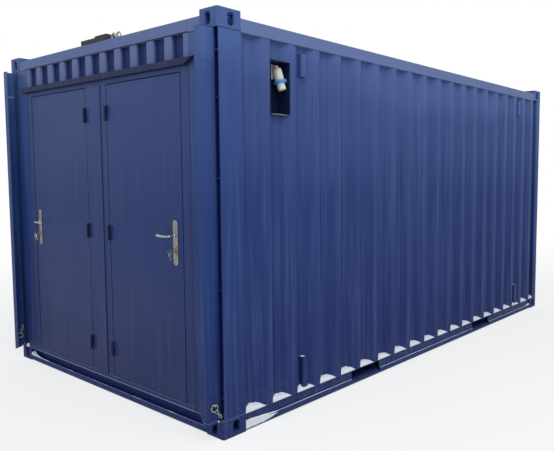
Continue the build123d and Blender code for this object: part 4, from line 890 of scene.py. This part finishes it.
class CONTAINER_OT_snow(bpy.types.Operator):
    """Lay the settled snow that the ledges, hoods and channels hold"""
    bl_idname = "container.snow"
    bl_label = "Settled snow"

    def execute(self, context):
        d = context.scene.container_details
        if not d.with_snow:
            return {"FINISHED"}

        # Ledge of the right bottom rail: high in the first half of each recess, a thin strip before each rib
        s = np.arange(POST_DEPTH + 1 * MM, SHEET_HIGH[0] - FRONT, 6 * MM)
        depth = wall_depth(s)
        spots, heights = (0, 57, 100, 117, 136, 155, 172, 236), (1.0, 1.0, 0.86, 0.78, 0.62, 0.36, 0.05, 0.03)
        heap = d.snow_bank * np.interp(np.mod(s - WAVE_START, WAVE_PITCH) / MM, spots, heights)
        heap *= 1 + 0.10 * ripple(s / WAVE_PITCH * 1.7, 4) + 0.09 * ripple(s * 110, 9)
        tall = np.minimum(heap, 5 * (depth + 2 * MM)) + 0.8 * MM
        skins = [bank(FRONT + s, RIGHT + 4.5 * MM, RIGHT + WAVE_SETBACK + depth, RAIL_TOP, tall, 0.25, 0.5)]

        # Lower flange: a deep wedge behind each casting, a thin line between and beside the fork pockets
        pocket = 370 * MM
        for x0, x1 in ((SHEET_LOW[0], POCKET_LOW[0]), (POCKET_LOW[0] + pocket, POCKET_HIGH[0] - pocket),
                       (POCKET_HIGH[0], REAR_POST)):
            x = np.arange(x0 + 3 * MM, x1 - 3 * MM, 8 * MM)
            near = np.clip(1 - (x - SHEET_LOW[0]) / 0.29, 0, 1) ** 0.8
            near += 0.9 * np.clip(1 - (REAR_POST - x) / 0.14, 0, 1)
            inner = RIGHT + (8 + 9 * near + 2 * ripple(x * 9, 6)) * MM
            tall = (1.4 + 20 * near) * MM * (1 + 0.10 * ripple(x * 60, 5))
            skins.append(bank(x, RIGHT + 3 * MM, inner, FLANGE_TOP, tall, 0.45, 0.6))

        # Crust that clings to the flange's face behind the front casting, its foot rising as it runs out
        run = np.linspace(0, 1, 40)
        x = SHEET_LOW[0] + (2 + 282 * run) * MM
        head = (62 - 24 * run) * MM
        foot = (13 + 23 * np.clip(run * 2 - 1, 0, 1) ** 1.6 + 1.2 * ripple(x * 90, 8)) * MM
        edges = ((0.5, foot + 1.6 * MM), (0.5, head - 1.6 * MM), (4, head), (4, foot))
        corners = [np.column_stack([x, np.full(len(x), RIGHT + y * MM), z]) for y, z in edges]
        skins.append(loft(np.stack(corners, 1)))

        # Tops of the vent hoods
        for recess in (2, 17):
            x = FRONT + WAVE_START + recess * WAVE_PITCH + WAVE_SLOPE + np.linspace(5, 37, 12) * MM
            tall = (3.5 + 1.5 * np.sin(np.linspace(0.3, 6.0, 12))) * MM
            for top in (SHEET_HIGH[2] - 46 * MM, SHEET_LOW[2] + 234 * MM):
                skins.append(bank(x, RIGHT + 24 * MM, RIGHT + 41 * MM, top, tall, 0.3, 0.5))

        # Rim of the power inlet's recess
        x = np.linspace(BOX_LOW[0] + 5 * MM, BOX_HIGH[0] - 5 * MM, 30)
        tall = (3 + ripple(x * 40, 2)) * MM
        skins.append(bank(x, BOX_LOW[1] + 1 * MM, BOX_LOW[1] + 12 * MM, BOX_LOW[2] + 3 * MM, tall, 0.5))
        make_piece("side_snow", skins, "settled snow", "frame")

        # Front: a line on the sill's lip that deepens into the channel at the left casting
        y = np.arange(-HEADER_HIGH[1] + 4 * MM, HEADER_HIGH[1] - 4 * MM, 10 * MM)
        drift = 34 * MM * np.exp((y - HEADER_HIGH[1]) / 0.09)
        patchy = np.clip(2.4 * ripple(y * 14, 11) - 0.4, 0.1, 1.6) * MM
        points, quads = bank(y, 0.4 * MM, 0.8 * MM + 1.5 * patchy + drift, SILL_LIP, patchy + drift, 0.6, 0.6)
        skins = [(points[:, (1, 0, 2)] + SILL_LOW[0] * ALONG, quads)]
        # A mound on the floor of the left post's recess, and lumps where the castings meet the posts
        mound = mm((17, -1), (16.5, 6), (13, 13), (7, 18), (2, 19.5))
        skins.append(turned(mound, (FRONT + 20 * MM, 1347.5 * MM, POST_LOW[2]), UP, 20, 3, 0.05))
        lump = mm((14, -1), (13, 5), (9.5, 9.5), (5, 12), (1.5, 12.8))
        for y, up, size in ((-FIN_HIGH[1] - 9 * MM, 6 * MM, 1.3), (FIN_HIGH[1] + 8 * MM, 0.0, 0.7),
                            (FIN_LOW[1] + 6 * MM, -8 * MM, 0.55)):
            skins.append(turned(size * lump, (FRONT, y, POST_LOW[2] + up), -ALONG, 20, 3, 0.12))
        make_piece("front_snow", skins, "settled snow", "frame")
        return {"FINISHED"}


class CONTAINER_OT_stage(bpy.types.Operator):
    """Make the floor, the world, the lamps and the camera"""
    bl_idname = "container.stage"
    bl_label = "Stage"

    def execute(self, context):
        scene = context.scene
        scene.view_settings.view_transform = "Standard"
        floor_mesh = bpy.data.meshes.new("floor")
        signs = ((-1, -1), (1, -1), (1, 1), (-1, 1))
        corners = [(x * FLOOR_REACH, y * FLOOR_REACH, -FLOOR_DROP) for x, y in signs]
        floor_mesh.from_pydata(corners, [], [(0, 1, 2, 3)])
        floor = bpy.data.objects.new("floor", floor_mesh)
        scene.collection.objects.link(floor)
        material = bpy.data.materials.new("pale floor")
        material.use_nodes = True
        tree = material.node_tree
        tree.nodes.clear()
        white = {"Color": (1.0, 1.0, 1.0, 1.0), "Strength": 1.0}
        place = add(tree, "TexCoord", {}, "Object")
        away = add(tree, "VectorMath", {0: place}, "Value", operation="LENGTH")
        clear = add(tree, "MapRange", {"Value": away, 1: 3.4, 2: 9.0, 3: 0.70, 4: 1.0})
        # Under the container the floor keeps its full shadow, so that no gap of the underframe glows
        x, y, _ = add(tree, "SeparateXYZ", {0: place}).node.outputs
        beyond = [add(tree, "MapRange", {"Value": distance_from(tree, way), 1: edge - 60 * MM, 2: edge})
                  for way, edge in ((x, -FRONT), (y, -RIGHT))]
        outside = add(tree, "Math", {0: beyond[0], 1: beyond[1]}, operation="MAXIMUM")
        clear = add(tree, "Math", {0: clear, 1: outside}, operation="MULTIPLY")
        seen = add(tree, "LightPath", {}, "Is Camera Ray")
        share = add(tree, "Math", {0: seen, 1: clear}, operation="MULTIPLY")
        matt = add(tree, "BsdfDiffuse", {"Color": (0.80, 0.80, 0.80, 1.0)})
        surface = add(tree, "MixShader", {0: share, 1: matt, 2: add(tree, "Emission", white)})
        fill(tree.nodes.new("ShaderNodeOutputMaterial"), {"Surface": surface})
        floor_mesh.materials.append(material)

        world = scene.world or bpy.data.worlds.new("studio")
        scene.world = world
        world.use_nodes = True
        tree = world.node_tree
        tree.nodes.clear()
        rays = add(tree, "LightPath", {}).node.outputs
        plain = {0: rays["Is Camera Ray"], 1: rays["Is Transmission Ray"]}
        shown = add(tree, "Math", plain, operation="MAXIMUM")
        light = add(tree, "Background", {"Color": (0.90, 0.95, 1.0, 1.0), "Strength": 0.80})
        surface = add(tree, "MixShader", {0: shown, 1: light, 2: add(tree, "Background", white)})
        fill(tree.nodes.new("ShaderNodeOutputWorld"), {"Surface": surface})

        lamp = bpy.data.lights.new("soft box", "AREA")
        lamp.shape, lamp.size, lamp.energy = "DISK", LAMP_WIDTH, LAMP_POWER
        holder = bpy.data.objects.new("soft box", lamp)
        holder.location = LAMP_PLACE
        holder.rotation_euler = (Vector(LAMP_AIM) - holder.location).to_track_quat("-Z", "Y").to_euler()
        scene.collection.objects.link(holder)

        lens = bpy.data.cameras.new("camera")
        lens.sensor_width, lens.lens = SENSOR_WIDTH, FOCAL_LENGTH
        lens.shift_x, lens.shift_y = LENS_SHIFT
        camera = bpy.data.objects.new("camera", lens)
        level = math.cos(CAMERA_DIP)
        look = Vector((math.cos(CAMERA_TURN) * level, math.sin(CAMERA_TURN) * level, -math.sin(CAMERA_DIP)))
        camera.location = CAMERA_PLACE
        camera.rotation_euler = look.to_track_quat("-Z", "Y").to_euler()
        scene.collection.objects.link(camera)
        scene.camera = camera
        return {"FINISHED"}


class CONTAINER_PT_panel(bpy.types.Panel):
    bl_label = "Toilet container"
    bl_idname = "CONTAINER_PT_panel"
    bl_space_type = "VIEW_3D"
    bl_region_type = "UI"
    bl_category = "Container"

    def draw(self, context):
        for step in STEPS:
            self.layout.operator(step.bl_idname)
        for group in (context.scene.container_colours, context.scene.container_details):
            column = self.layout.column()
            for key in group.__annotations__:
                column.prop(group, key)


STEPS = (CONTAINER_OT_finishes, CONTAINER_OT_joints, CONTAINER_OT_handles, CONTAINER_OT_hinges,
         CONTAINER_OT_inlet, CONTAINER_OT_rings, CONTAINER_OT_snow, CONTAINER_OT_stage)
CLASSES = (ContainerColours, ContainerDetails, *STEPS, CONTAINER_PT_panel)


def register():
    for kind in CLASSES:
        bpy.utils.register_class(kind)
    bpy.types.Scene.container_colours = bpy.props.PointerProperty(type=ContainerColours)
    bpy.types.Scene.container_details = bpy.props.PointerProperty(type=ContainerDetails)


def unregister():
    del bpy.types.Scene.container_details
    del bpy.types.Scene.container_colours
    for kind in reversed(CLASSES):
        bpy.utils.unregister_class(kind)


def main():
    register()
    for step in STEPS:
        group, action = step.bl_idname.split(".")
        getattr(getattr(bpy.ops, group), action)()


if __name__ == "__main__":
    main()
